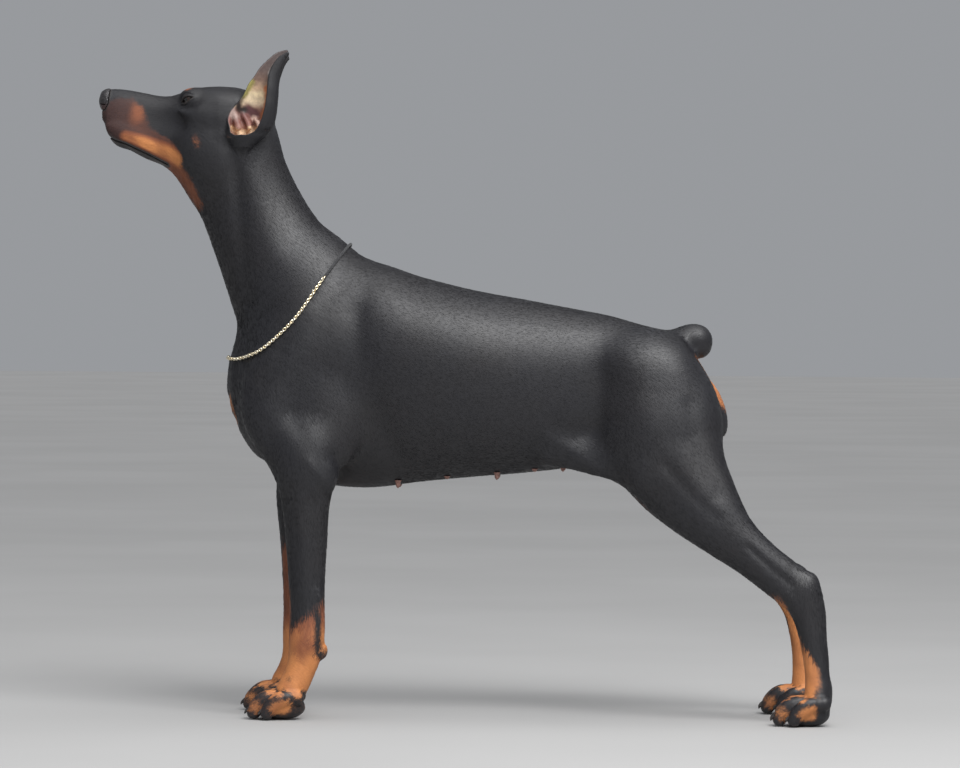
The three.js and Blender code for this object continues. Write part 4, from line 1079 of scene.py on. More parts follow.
def markings(p, normal):
    """Shares of rust, of its brightness, of bare skin and of the inner ear on the skin."""
    side, fore, hind = mirrored(p), shifted(p, FORE_FAR_SHIFT), shifted(p, HIND_FAR_SHIFT)
    edge = ragged(p, 26, 3) * 1.6 + ragged(p, 6, 4) * 0.9
    wander = edge[:, None] * np.array([0.7, 0, 0.7])
    inner = -normal[:, 1] * np.sign(p[:, 1])
    lip, over = line_distance(mouth_line, side[:, 0], side[:, 2])

    face, face_bright = face_marks(side, side + wander, lip * over)
    fore_rust, fore_bright = foreleg_marks(fore, fore + wander * 1.5, normal, inner)
    hind_rust, hind_bright = hindleg_marks(hind + wander, normal, inner)
    chest = spot(side + wander, (-345, 24, 458), (40, 13, 23), 0, 0.6)
    chest *= smooth(-normal[:, 0], 0.8, 0.97)
    rust = np.maximum.reduce([face, chest, fore_rust, hind_rust])
    dark = np.maximum.reduce([
        paw_darks(fore + wander, (FORE_PAW_X, FORE_Y), 42, 0.88),
        paw_darks(hind + wander, (HIND_PAW_X, HIND_Y), 44, 0.95),
        spot(hind + wander, (528, 116, 36), (12, 30, 26), 0, 0.5) * 0.85,
        smooth(p[:, 2], 9, 4),
    ])
    rust = rust * (1 - 0.93 * dark)

    bright = 0.72 + 0.28 * smooth(ragged(p, 40, 8), -1, 1)
    legs = np.where(side[:, 0] < 0, fore_bright, hind_bright)
    place = np.where(side[:, 2] > 740, face_bright, legs)
    bright *= np.where(chest > 0, 0.8, place)

    rim, r = lid_opening(side)[:2]
    lip = smooth(lip * np.where(over > 0, 1, 0.5), 3.2, 1.6)
    bare = np.maximum.reduce([
        np.where(np.abs(r - EYE_RADIUS) < 4, smooth(rim, 2.4, 0.9), 0),
        np.where(side[:, 0] < -440, lip, 0),
        smooth(p[:, 2], 5, 2.5),
        np.where(side[:, 0] < -530, smooth(np.abs(nose_prism(side)), 3, 1), 0),
    ])
    return rust, bright, bare, ear_share(p)


# Hollow of the ear: heights and the colour there, then zones as a line, its reach and its colour;
# some of these colours are painted light and shade
HOLLOW_HEIGHTS = [864, 872, 882, 896, 902, 911, 924, 934, 944, 960, 990]
# The bright cream at 911 and 924 is partly the skin's own colour, partly painted light shining
# through the thin ear
HOLLOW_COLOURS = [
    (0.50, 0.28, 0.20), (0.42, 0.22, 0.17), (0.26, 0.115, 0.095), (0.20, 0.085, 0.075),
    (0.36, 0.20, 0.15), (0.90, 0.72, 0.50), (0.88, 0.72, 0.46), (0.56, 0.38, 0.25),
    (0.24, 0.155, 0.12), (0.17, 0.125, 0.115), (0.13, 0.11, 0.11),
]
HOLLOW_ZONES_WITH_PAINTED_LIGHT = [
    ([(-331, 922), (-324, 932), (-318, 941)], 5, (0.36, 0.32, 0.10)),
    # Reddish rear edge: painted light shining through the thin rim
    ([(-296, 934), (-296, 918), (-299, 902), (-303, 890)], 4, (0.55, 0.19, 0.075)),
    # Dark patch low in the hollow: painted shade in a recess
    ([(-324, 902), (-316, 896)], 7, (0.12, 0.045, 0.05)),
    # Pale pink patch on the folds: painted highlight
    ([(-316, 888), (-309, 881)], 4, (0.80, 0.56, 0.46)),
    # Bright line along the bottom rim: painted highlight on the pale flesh
    ([(-346, 873), (-339, 868), (-326, 868), (-314, 873)], 4, (0.88, 0.62, 0.38)),
    ([(-347, 897), (-343, 890)], 6, (0.36, 0.25, 0.22)),
    ([(-335, 924), (-338, 909), (-336, 901), (-330, 901)], 5, (0.020, 0.015, 0.014)),
    ([(-292, 948), (-291, 958), (-285, 968), (-270, 979)], 2.2, (0.42, 0.38, 0.36)),
]


def hollow_colour(p):
    """Colour of the hollow of the ear at points, with painted light through the ear, painted
    highlights and a painted shade.
    """
    side = mirrored(p)
    side[:, 0] += np.where(p[:, 1] > 0, EAR_FAR_SHIFT, 0) + ragged(p, 9, 12) * 1.2
    side[:, 2] += ragged(p, 9, 13) * 1.5
    levels = np.array(HOLLOW_COLOURS).T
    colour = np.stack([np.interp(side[:, 2], HOLLOW_HEIGHTS, level) for level in levels], 1)
    for line, reach, zone in HOLLOW_ZONES_WITH_PAINTED_LIGHT:
        share = band(side, line, reach, 0.6)[:, None]
        colour += (np.array(zone) - colour) * share
    return colour


# Lay of the coat: places on the near side and the way the hair points there, and how far from a
# place its way starts to give way to others
LAY_REACH = 30
LAY = [
    ((-520, 0, 930), (1, 0, 0.1)), ((-500, 27, 890), (0.97, 0.1, -0.15)),
    ((-385, 15, 935), (0.98, 0.1, 0.1)), ((-390, 46, 860), (0.75, 0.1, -0.6)),
    ((-450, 0, 820), (0.85, 0, -0.5)), ((-400, 0, 760), (0.3, 0, -0.95)),
    ((-310, 50, 740), (0.45, 0, -0.9)), ((-260, 0, 760), (0.5, 0, -0.85)),
    ((-240, 70, 600), (0.45, 0, -0.85)), ((-345, 20, 480), (0.25, 0.2, -0.95)),
    ((-260, 80, 500), (0.45, 0, -0.85)), ((-160, 0, 670), (0.95, 0, -0.25)),
    ((-50, 100, 520), (0.9, 0, -0.42)), ((100, 0, 620), (1, 0, -0.08)),
    ((0, 0, 350), (1, 0, 0)), ((160, 75, 450), (0.85, 0, -0.5)),
    ((270, 30, 590), (0.95, 0, -0.25)), ((290, 90, 440), (0.5, 0, -0.86)),
    ((400, 110, 270), (0.65, 0, -0.75)), ((510, 110, 150), (0.05, 0, -1)),
    ((490, 105, 26), (-0.9, 0, -0.45)), ((-230, 100, 250), (0.1, 0, -1)),
    ((-285, 82, 26), (-0.9, 0, -0.45)), ((345, 10, 575), (0.6, 0, 0.75)),
    ((-310, 66, 930), (0.35, 0, 0.93)), ((-200, 95, 380), (0.3, 0, -0.95)),
]


def lay_of(p, normal):
    """Way the hair points at points of the skin, along the skin."""
    side = mirrored(p)
    total = np.zeros((len(p), 3))
    for place, way in LAY:
        d = ((side - place)**2).sum(1)
        total += np.array(way) / (d + LAY_REACH**2)[:, None]**2 * 1e6
    total[:, 1] *= np.where(p[:, 1] < 0, -1, 1)
    return unit(along_surface(total, normal))


def smallness(p):
    """0 on the trunk, 1 on the face, ears and feet, where the coat is shortest."""
    z = p[:, 2] - 0.2 * p[:, 0]
    return np.maximum(smooth(z, 830, 930), smooth(p[:, 2], 150, 60))


# Cuts across the body: the least z - x of the head and of the neck
HEAD_CUT = 819 + 345
NECK_CUT = 596 + 262

# Axes of a flat patch, for each of the six ways that faces face, and how the patches are laid out
FLAT_AXES = ((1, 2), (1, 2), (0, 2), (0, 2), (0, 1), (0, 1))
PATCH_GAP = 3
SHEET_SLACK = 1.08


def part_of(p):
    """Number of the part of the skin that points are on, for the unwrap."""
    x, y, z = p.T
    far = y > 0
    out = np.zeros(len(p), int)
    out[z - x > HEAD_CUT] = 2
    out[(z - x > NECK_CUT) & (out == 0) & (x < -150)] = 1
    k = within(p, EAR_REGION)
    if len(k):
        out[k] = np.where(ear_leaf(ear_side(p[k])) < 2, 3 + far[k], out[k])
    out = np.where((x < -100) & (z < 352), 5 + far, out)
    out = np.where((x > 150) & (z < 398 + (x - 286) * 0.187), 7 + far, out)
    out = np.where(z < 90, 9 + far + 2 * (x > 0), out)
    return out


def unwrap(points, faces, normals):
    """Place in the unit square of each face's corners, with a patch for each part and way."""
    middle = points[faces].mean(1)
    facing = normals[faces].mean(1)
    axis = np.abs(facing).argmax(1)
    way = axis * 2 + (facing[np.arange(len(faces)), axis] > 0)
    chart = part_of(middle) * 6 + way
    flat = np.empty((len(faces), 3, 2))
    for w in range(6):
        flat[way == w] = points[faces[way == w]][:, :, FLAT_AXES[w]]
    boxes = []
    for c in np.unique(chart):
        these = flat[chart == c].reshape(-1, 2)
        boxes.append((c, these.min(0), np.ptp(these, axis=0) + 2 * PATCH_GAP))
    boxes.sort(key=lambda box: -box[2][1])
    width = math.sqrt(sum(size[0] * size[1] for _, _, size in boxes)) * SHEET_SLACK
    left = base = shelf = 0
    places = {}
    for c, low, size in boxes:
        if left + size[0] > width:
            left, base, shelf = 0, base + shelf, 0
        places[c] = (left + PATCH_GAP - low[0], base + PATCH_GAP - low[1])
        left += size[0]
        shelf = max(shelf, size[1])
    scale = 1 / max(width, base + shelf)
    for c, move in places.items():
        flat[chart == c] += move
    return flat * scale


def give_map(mesh, flat):
    layer = mesh.uv_layers.new(name="OFBake")
    layer.data.foreach_set("uv", flat.astype(np.float32).ravel())


def give_colours(mesh, name, *channels):
    layer = mesh.attributes.new(name, "FLOAT_COLOR", "POINT")
    values = np.ones((len(mesh.vertices), 4), np.float32)
    for i, channel in enumerate(channels):
        values[:, i] = channel
    layer.data.foreach_set("color", values.ravel())


def lay_shares(way):
    """Shares of hair that points back, slanting and down, for the fine streaks of the coat."""
    angle = np.degrees(np.arctan2(np.abs(way[:, 2]), np.abs(way[:, 0])))
    back, down = smooth(angle, 45, 5), smooth(angle, 45, 85)
    return back, 1 - back - down, down


rng = np.random.default_rng(11)

# Skin
points, faces = make_skin()
points = relax(points, faces, 2)
points = settle(points, skin_field)
for _ in range(2):
    points, faces = refine(points, faces, skin_field, wanted_edge)
points = relax(points, faces, 1, 0.4)
points = settle(points, skin_field, 1)
normals = vertex_normals(points, faces)
flat = unwrap(points, faces, normals)
skin = build("skin", points, faces)
give_map(skin.data, flat)
skin_marks = np.stack(markings(points, normals), 1)
give_colours(skin.data, "marks", *skin_marks.T)
# Colour of the ear's hollow, which holds painted light through the ear, painted highlights and a
# painted shade
give_colours(skin.data, "hollow", *hollow_colour(points).T)
skin_lay = lay_of(points, normals)
give_colours(skin.data, "lay", *lay_shares(skin_lay), np.full(len(points), 0.5))
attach(skin, "root")
FLESH = ["head", "neck", "torso", "tail"] + [
    f"{part}_{side}" for side in ("left", "right")
    for part in ("ear", "shoulder", "thigh", "forearm", "gaskin", "hock", "fore_paw", "hind_paw")]
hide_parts(*FLESH)


# Coat: short pointed tufts that rise from the skin and lie along it. Each pair gives a measure on
# the trunk and the same where the coat is shortest
TUFTS = 230000
TUFT_LENGTH, TUFT_WIDTH, TIP_LIFT = (12, 5.2), (1.5, 0.8), (0.55, 0.3)
DENSITY = (1, 3.2)
ROOT_DEPTH, SIDE_DEPTH, RIDGE_HEIGHT = (0.35, 0.2), (0.22, 0.12), (0.14, 0.08)
MOST_BEND = (0.30, 0.12)

# How far a tip may end from its height, how much the lay and the edges of the markings scatter,
# and the shares of a tuft's length at which its sides and its ridge are set
MOST_OFF = 1.2
LAY_SPREAD = 0.16
EDGE_SPREAD = 0.10
SIDES_AT, RIDGE_AT = 0.42, 0.45
TUFT_FACES = np.array([(0, 1, 3), (0, 3, 2), (0, 2, 1), (1, 2, 3)])
PATCH = np.array([(-0.0015, 0), (0, -0.0008), (0, 0.0008), (0.0015, 0)])


def skin_height(p):
    return spread_out(skin_field, p)[:, None]


def scatter(count):
    """Places on the skin, closer together where the coat is shorter: point, normal, unwrap."""
    corner = points[faces]
    area = np.linalg.norm(np.cross(corner[:, 1] - corner[:, 0], corner[:, 2] - corner[:, 0]),
                          axis=1) / 2
    middle = corner.mean(1)
    bare = skin_marks[faces, 2].max(1)
    inner_ear = skin_marks[faces, 3].mean(1)
    density = mix(*DENSITY, smallness(middle)) * (bare < 0.25) * (inner_ear < 0.2)
    density *= middle[:, 2] > 5
    total = np.cumsum(area * density)
    face = np.searchsorted(total, rng.uniform(0, total[-1], count))
    a, b = rng.random((2, count, 1))
    a, b = np.where(a + b > 1, 1 - a, a), np.where(a + b > 1, 1 - b, b)

    def inside(c):
        return c[:, 0] + a * (c[:, 1] - c[:, 0]) + b * (c[:, 2] - c[:, 0])
    return inside(corner[face]), unit(inside(normals[faces[face]])), inside(flat[face])


def grow(count):
    """The four corners of each tuft, and its root, normal, lay and place on the unwrap."""
    root, normal, root_uv = scatter(count)
    lay = lay_of(root, normal)
    turn = rng.normal(0, LAY_SPREAD, (count, 1))
    lay = lay * np.cos(turn) + np.cross(normal, lay) * np.sin(turn)
    across = np.cross(normal, lay)
    small = smallness(root)[:, None]
    muzzle = smooth(root[:, 0], -440, -490)[:, None]
    length = mix(*TUFT_LENGTH, small) * mix(1, 0.7, muzzle) * rng.uniform(0.7, 1.25, (count, 1))
    width = mix(*TUFT_WIDTH, small) * rng.uniform(0.75, 1.25, (count, 1))
    lift = mix(*TIP_LIFT, small) * rng.uniform(0.3, 1.7, (count, 1))

    # Shorter where the skin bends, and the tip a set height above it
    tip = root + lay * length
    tip -= normal * skin_height(tip)
    bend = np.abs(skin_height((root + tip) / 2))
    length *= np.sqrt(np.clip(mix(*MOST_BEND, small) / np.maximum(bend, 1e-3), 0.08, 1))
    tip = root + lay * length
    rise = lift * np.sqrt(length / mix(*TUFT_LENGTH, small))
    tip -= normal * np.clip(skin_height(tip) - rise, -3, 3)
    off = np.abs(skin_height(tip) - lift)

    # Root and sides a little inside the skin, the sides lower than the line from root to tip
    start = root - normal * mix(*ROOT_DEPTH, small)
    half = root + lay * length * SIDES_AT
    half -= normal * np.clip(skin_height(half) + mix(*SIDE_DEPTH, small), -2, 2)
    ridge = start + (tip - start) * RIDGE_AT
    fold = ((half - ridge) * normal).sum(1)[:, None]
    sink = normal * np.maximum(fold + mix(*RIDGE_HEIGHT, small), 0)
    one, other = half - across * width / 2 - sink, half + across * width / 2 - sink
    pokes = (ear_share(np.concatenate([half, tip])) > 0.1).reshape(2, -1).any(0)
    keep = (off[:, 0] < MOST_OFF) & ~pokes
    tuft = np.stack([start, one, other, tip], 1)
    return tuft[keep], root[keep], normal[keep], lay[keep], root_uv[keep]


tufts, roots, root_normals, root_lay, root_uv = grow(TUFTS)
tuft_marks = np.stack(markings(roots, root_normals), 1)
jitter = rng.normal(0, EDGE_SPREAD, len(roots))
tuft_marks[:, 0] = smooth(tuft_marks[:, 0] * (1 + jitter * 3 * (1 - tuft_marks[:, 0])), 0.15, 0.8)
tuft_lay = np.stack(lay_shares(root_lay), 1)
tuft_tone = rng.random(len(roots))


def coat_piece(name, k):
    n = len(k)
    corners = (np.arange(n)[:, None, None] * 4 + TUFT_FACES).reshape(-1, 3)
    piece = build(name, tufts[k].reshape(-1, 3), corners)
    places = root_uv[k][:, None] + PATCH
    give_map(piece.data, places.reshape(-1, 2)[corners.ravel()])
    give_colours(piece.data, "marks", *np.repeat(tuft_marks[k], 4, 0).T)
    give_colours(piece.data, "lay", *np.repeat(tuft_lay[k], 4, 0).T, np.repeat(tuft_tone[k], 4))
    piece.data.normals_split_custom_set_from_vertices(np.repeat(root_normals[k], 4, 0))
    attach(piece, "root")
    return piece


def coat_groups():
    """Name of each piece of coat, and which tufts are in it."""
    x, y, z = roots.T
    high, low = z - x > HEAD_CUT, z < 345
    yield "coat_head", high & (x < -365)
    yield "coat_ears", high & (x >= -365)
    yield "coat_fore_legs", low & (x < 0)
    yield "coat_hind_legs", low & (x > 0)
    neck = ~high & ~low & (x < -190) & (z > 560)
    yield "coat_neck", neck
    for label, sign in (("left", -1), ("right", 1)):
        this = ~high & ~low & ~neck & (y * sign > 0)
        yield f"coat_chest_{label}", this & (x < -60)
        yield f"coat_barrel_{label}", this & (x >= -60) & (x < 170)
        yield f"coat_haunch_{label}", this & (x >= 170)


coat = [coat_piece(name, np.flatnonzero(k)) for name, k in coat_groups()]


# Nose leather
def nose_field(p):
    side = mirrored(p)
    d = with_forms(head_body(p), head_lumps, side) - NOSE_SWELL
    x, y, z = side.T
    hole = ellipsoid((-551, 8.3, 915.5), (6.5, 3.3, 4.0), -10)(side)
    d = carve(d, hole, 1.6)
    slit = [(-549, 911.5), (-545, 909), (-541, 908.5)]
    gap, _ = line_distance(np.array(slit), x, z)
    d += 2.6 * np.exp(-(gap / 0.8)**2) * smooth(y, 6, 9)
    d += 1.3 * np.exp(-(y / 0.8)**2) * smooth(z, 921, 914)
    return carve(d, -nose_prism(p) - NOSE_OVERLAP, 1.6)


# Step of its mesh, how far it stands over the skin, and how far back it reaches past its cut
NOSE_STEP = 0.6
NOSE_SWELL = 0.2
NOSE_OVERLAP = 0.25
nose_points, nose_faces = mesh_in(nose_field, (-560, -24, 892), (-525, 24, 944), NOSE_STEP)
nose_points = settle(relax(nose_points, nose_faces, 2), nose_field, 1, 0.4)
nose = build("nose_leather", nose_points, nose_faces)
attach(nose, "root")
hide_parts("nose")


def rings_mesh(rings, closed=False):
    """Closed faces over rows of points: the rows meet end to end, or flat ends close them."""
    rows, sides = rings.shape[:2]
    k = np.arange(rows * sides).reshape(rows, sides)
    turned = np.roll(k, -1, axis=1)
    pairs = [(i, (i + 1) % rows) for i in range(rows if closed else rows - 1)]
    quads = [np.stack([k[i], turned[i], turned[j], k[j]], 1) for i, j in pairs]
    quads = np.vstack(quads)
    out = np.vstack([quads[:, [0, 1, 2]], quads[:, [0, 2, 3]]])
    if not closed:
        for row, flip in ((k[0], True), (k[-1], False)):
            fan = np.column_stack([np.full(sides - 2, row[0]), row[1:-1], row[2:]])
            out = np.vstack([out, fan[:, ::-1] if flip else fan])
    p = rings.reshape(-1, 3)
    a, b, c = p[out].transpose(1, 0, 2) - p.mean(0)
    volume = (a * np.cross(b, c)).sum()
    return p, out if volume > 0 else out[:, ::-1]


# Eyes: balls with a slight swell over the iris
LID_GAP = 0.15
CORNEA_HEIGHT = 0.9
CORNEA_ANGLE = 0.62


def eyeball(label, side):
    steps = 44
    angle = np.concatenate([[0.02], np.linspace(0.06, 1.0, 22), np.linspace(1.1, 3.12, 14)])
    axis, along = EYE_AXIS, np.cross(EYE_AXIS, (0, 0, 1))
    along = along / np.linalg.norm(along)
    up = np.cross(along, axis)
    turn = circle(steps)
    cornea = np.clip(1 - (angle / CORNEA_ANGLE)**2, 0, 1)**1.2
    bulge = EYE_RADIUS - LID_GAP + CORNEA_HEIGHT * cornea
    ring = (axis * np.cos(angle)[:, None, None]
            + (along * np.cos(turn)[:, None] + up * np.sin(turn)[:, None])
            * np.sin(angle)[:, None, None]) * bulge[:, None, None] + EYE
    ring[..., 1] *= side
    piece = build(f"eyeball_{label}", *rings_mesh(ring))
    give_colours(piece.data, "iris", np.repeat(angle, steps), np.tile(turn / 6.2832, len(angle)))
    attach(piece, "root")
    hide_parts(f"eye_{label}")
    return piece


eyes = [eyeball("left", -1), eyeball("right", 1)]


# Claws: short curved horns from the ends of the toes
CLAW_LENGTH = 19.5
CLAW_RADIUS = 3.7


def claw_mesh(x, y, z, size):
    rows, sides = 12, 14
    t = np.linspace(0, 1, rows)
    bend = 1.25 * t**1.3
    way = np.stack([-np.cos(bend), 0 * bend, -np.sin(bend)], 1)
    step = CLAW_LENGTH * size / rows
    line = np.vstack([[0, 0, 0], np.cumsum((way[1:] + way[:-1]) / 2 * step, 0)])
    radius = CLAW_RADIUS * size * np.sqrt(np.clip(1 - t**1.7 * 0.985, 0.0004, 1))
    radius *= mix(0.9, 1, smooth(t, 0, 0.3))
    turn = circle(sides)
    over = np.stack([-way[:, 2], 0 * bend, way[:, 0]], 1) * -1
    low = np.where(np.sin(turn) < 0, 0.75, 1.0)
    ring = (line[:, None] + radius[:, None, None]
            * (np.cos(turn)[:, None] * np.array([0, 0.74, 0])
               + (np.sin(turn) * low)[None, :, None] * over[:, None]))
    return rings_mesh(ring + (x, y, z))


def join(parts):
    """Several meshes as one."""
    starts = np.cumsum([0] + [len(p) for p, _ in parts])
    return np.vstack([p for p, _ in parts]), np.vstack([f + s for (_, f), s in zip(parts, starts)])


claws = []
for paw, px, py, shift in (("fore", FORE_PAW_X, FORE_Y, FORE_FAR_SHIFT),
                           ("hind", HIND_PAW_X, HIND_Y, HIND_FAR_SHIFT)):
    for label, side in (("left", -1), ("right", 1)):
        move = shift[0] if side > 0 else 0
        made = [claw_mesh(px - forward - 34 - move, side * (py + s), 17 * size, size)
                for s, forward, size in TOES]
        piece = build(f"claws_{paw}_{label}", *join(made))
        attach(piece, "root")
        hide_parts(*[f"{paw}_claw_{label}_{i}" for i in range(1, 5)])
        claws.append(piece)


# Teats
TEAT_SIDES = 12
BELLY_HEIGHTS = (420, 320)


def teat(x, length, side):
    t = np.linspace(0, 1, 9)
    turn = circle(TEAT_SIDES)
    down = np.array([[x, side * TEAT_Y, z] for z in np.linspace(*BELLY_HEIGHTS, 201)])
    belly = down[np.flatnonzero(body_field(down) < 0)[-1], 2]
    radius = 3.9 * np.array([1.5, 1.2, 1.0, 0.92, 0.9, 0.86, 0.72, 0.45, 0.05])
    z = belly + 2 - t * (length - 1)
    ring = np.stack([np.cos(turn) * radius[:, None] + x,
                     np.sin(turn) * radius[:, None] + side * TEAT_Y,
                     np.repeat(z[:, None], TEAT_SIDES, 1)], -1)
    return rings_mesh(ring)


teats = build("teats", *join([teat(x, length, side) for x, length in TEATS for side in (-1, 1)]))
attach(teats, "root")


# Collar: a chain of small round links on the skin, and a cord at the nape
def collar_route(count):
    """Points round the neck, the ways along and out there, and the length of the round."""
    line = curve(COLLAR, 40)[:, :2]
    flat_points = np.column_stack([line[:, 0], 0 * line[:, 0], line[:, 1]])
    inside = np.flatnonzero(body_field(flat_points) < 0)
    line = line[inside[0]:inside[-1] + 1]
    share = (1 - np.cos(np.linspace(0, math.pi, 400))) / 2 * (len(line) - 1)
    x = np.interp(share, np.arange(len(line)), line[:, 0])
    z = np.interp(share, np.arange(len(line)), line[:, 1])

    # Half the width of the neck there, by halving the range
    low, high = np.zeros(len(x)), np.full(len(x), 150.0)
    for _ in range(22):
        middle = (low + high) / 2
        below = body_field(np.column_stack([x, middle, z])) < 0
        low, high = np.where(below, middle, low), np.where(below, high, middle)
    half = np.column_stack([x, low, z])
    loop = np.vstack([half * (1, -1, 1), half[::-1], half[:1] * (1, -1, 1)])
    far = np.concatenate([[0], np.cumsum(np.linalg.norm(np.diff(loop, axis=0), axis=1))])
    place = np.linspace(0, far[-1], count, endpoint=False)
    p = np.stack([np.interp(place, far, loop[:, a]) for a in range(3)], 1)
    p = settle(p, body_field, 3, 8)
    along = np.roll(p, -1, 0) - np.roll(p, 1, 0)
    along = unit(along)
    _, grad = slope_of(body_field, p)
    return p, along, unit(along_surface(unit(grad), along)), far[-1]


def ring_mesh(centre, along, out, long, wide, wire, steps=14, sides=7, twist=0):
    """An oval link that lies in the plane of its length and of a direction turned about it."""
    across = np.cross(along, out)
    flat_way = across * math.cos(twist) + out * math.sin(twist)
    over = np.cross(along, flat_way)
    a, b = circle(steps), circle(sides)
    way = np.cos(a)[:, None] * along + np.sin(a)[:, None] * flat_way
    middle = np.cos(a)[:, None] * along * long / 2 + np.sin(a)[:, None] * flat_way * wide / 2
    ring = (middle[:, None] + (np.cos(b)[None, :, None] * way[:, None]
                               + np.sin(b)[None, :, None] * over) * wire)
    return rings_mesh(ring + centre, closed=True)


# Chain: distance from link to link, height of their middles over the skin, turn of a link to
# either side, and the x at which the chain ends and the cord starts
LINK_PITCH = 3.9
LINK_HEIGHT = 2.6
LINK_TWIST = 0.75
CHAIN_END, CORD_START = -206, -209
around = collar_route(60)[-1]
count = int(around / LINK_PITCH / 2) * 2
place, along, out, _ = collar_route(count)
links = [ring_mesh(place[i] + out[i] * LINK_HEIGHT, along[i], out[i], 5.6, 3.9, 0.95,
                   twist=LINK_TWIST if i % 2 else -LINK_TWIST)
         for i in range(count) if place[i, 0] < CHAIN_END]
chain = build("chain_links", *join(links))
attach(chain, "root")
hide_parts("collar_chain")

# Cord of three strands: height of its middle, radius of a strand, turn from point to point
CORD_HEIGHT = 2.3
STRAND_RADIUS = 1.25
STRAND_TURN = 0.42
place, along, out, _ = collar_route(560)
back = np.flatnonzero(place[:, 0] > CORD_START)
across = np.cross(along[back], out[back])
strands = []
for strand in range(3):
    turn = np.arange(len(back)) * STRAND_TURN + strand * 2 * math.pi / 3
    line = place[back] + out[back] * CORD_HEIGHT + (np.cos(turn)[:, None] * across
                                                    + np.sin(turn)[:, None] * out[back])
    b = circle(8)
    ring = line[:, None] + STRAND_RADIUS * (np.cos(b)[None, :, None] * across[:, None]
                                            + np.sin(b)[None, :, None] * out[back][:, None])
    strands.append(rings_mesh(ring))
cord = build("nape_cord", *join(strands))
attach(cord, "root")
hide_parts("collar_cord")
end_rings = [ring_mesh(place[i] + out[i] * LINK_HEIGHT, along[i], out[i], 9.5, 9.5, 1.1,
                       steps=20, sides=8, twist=1.2)
             for i in (back[0], back[-1])]
rings = build("end_rings", *join(end_rings))
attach(rings, "root")

# Camera
camera = bpy.data.objects.new("camera", bpy.data.cameras.new("camera"))
bpy.context.scene.collection.objects.link(camera)
ahead = (CAMERA_AIM - CAMERA_AT).normalized()
right = ahead.cross(Vector((0, 0, 1))).normalized()
up = right.cross(ahead)
right, up = (right * math.cos(CAMERA_ROLL) + up * math.sin(CAMERA_ROLL),
             up * math.cos(CAMERA_ROLL) - right * math.sin(CAMERA_ROLL))
turned = Matrix((right, up, -ahead)).transposed().to_4x4()
camera.matrix_world = Matrix.Translation(CAMERA_AT) @ turned
camera.data.lens = CAMERA_LENS
camera.data.sensor_width = 36
camera.data.clip_end = 100
bpy.context.scene.camera = camera

# Floor and light
bpy.ops.mesh.primitive_plane_add(size=80, location=(0, 0, 0))
floor = bpy.context.object
floor.name = "floor"
world = bpy.data.worlds.new("world")
bpy.context.scene.world = world
world.use_nodes = True
world.node_tree.nodes["Background"].inputs["Color"].default_value = (0.92, 0.95, 1.0, 1)
world.node_tree.nodes["Background"].inputs["Strength"].default_value = 0.34
bpy.context.scene.view_settings.view_transform = "Standard"


def light(name, kind, energy):
    made = bpy.data.objects.new(name, bpy.data.lights.new(name, kind))
    made.data.energy = energy
    bpy.context.scene.collection.objects.link(made)
    return made


KEY_AT = Vector((1.4, -2.8, 3.6))
KEY_AIM = Vector((0, 0, 0.5))
key = light("key", "AREA", 220)
key.data.size = 2.4
key.location = KEY_AT
key.rotation_euler = (KEY_AIM - KEY_AT).to_track_quat("-Z", "Y").to_euler()
sun = light("sun", "SUN", 1.6)
sun.data.angle = math.radians(70)
sun.rotation_euler = (math.radians(12), math.radians(8), 0)


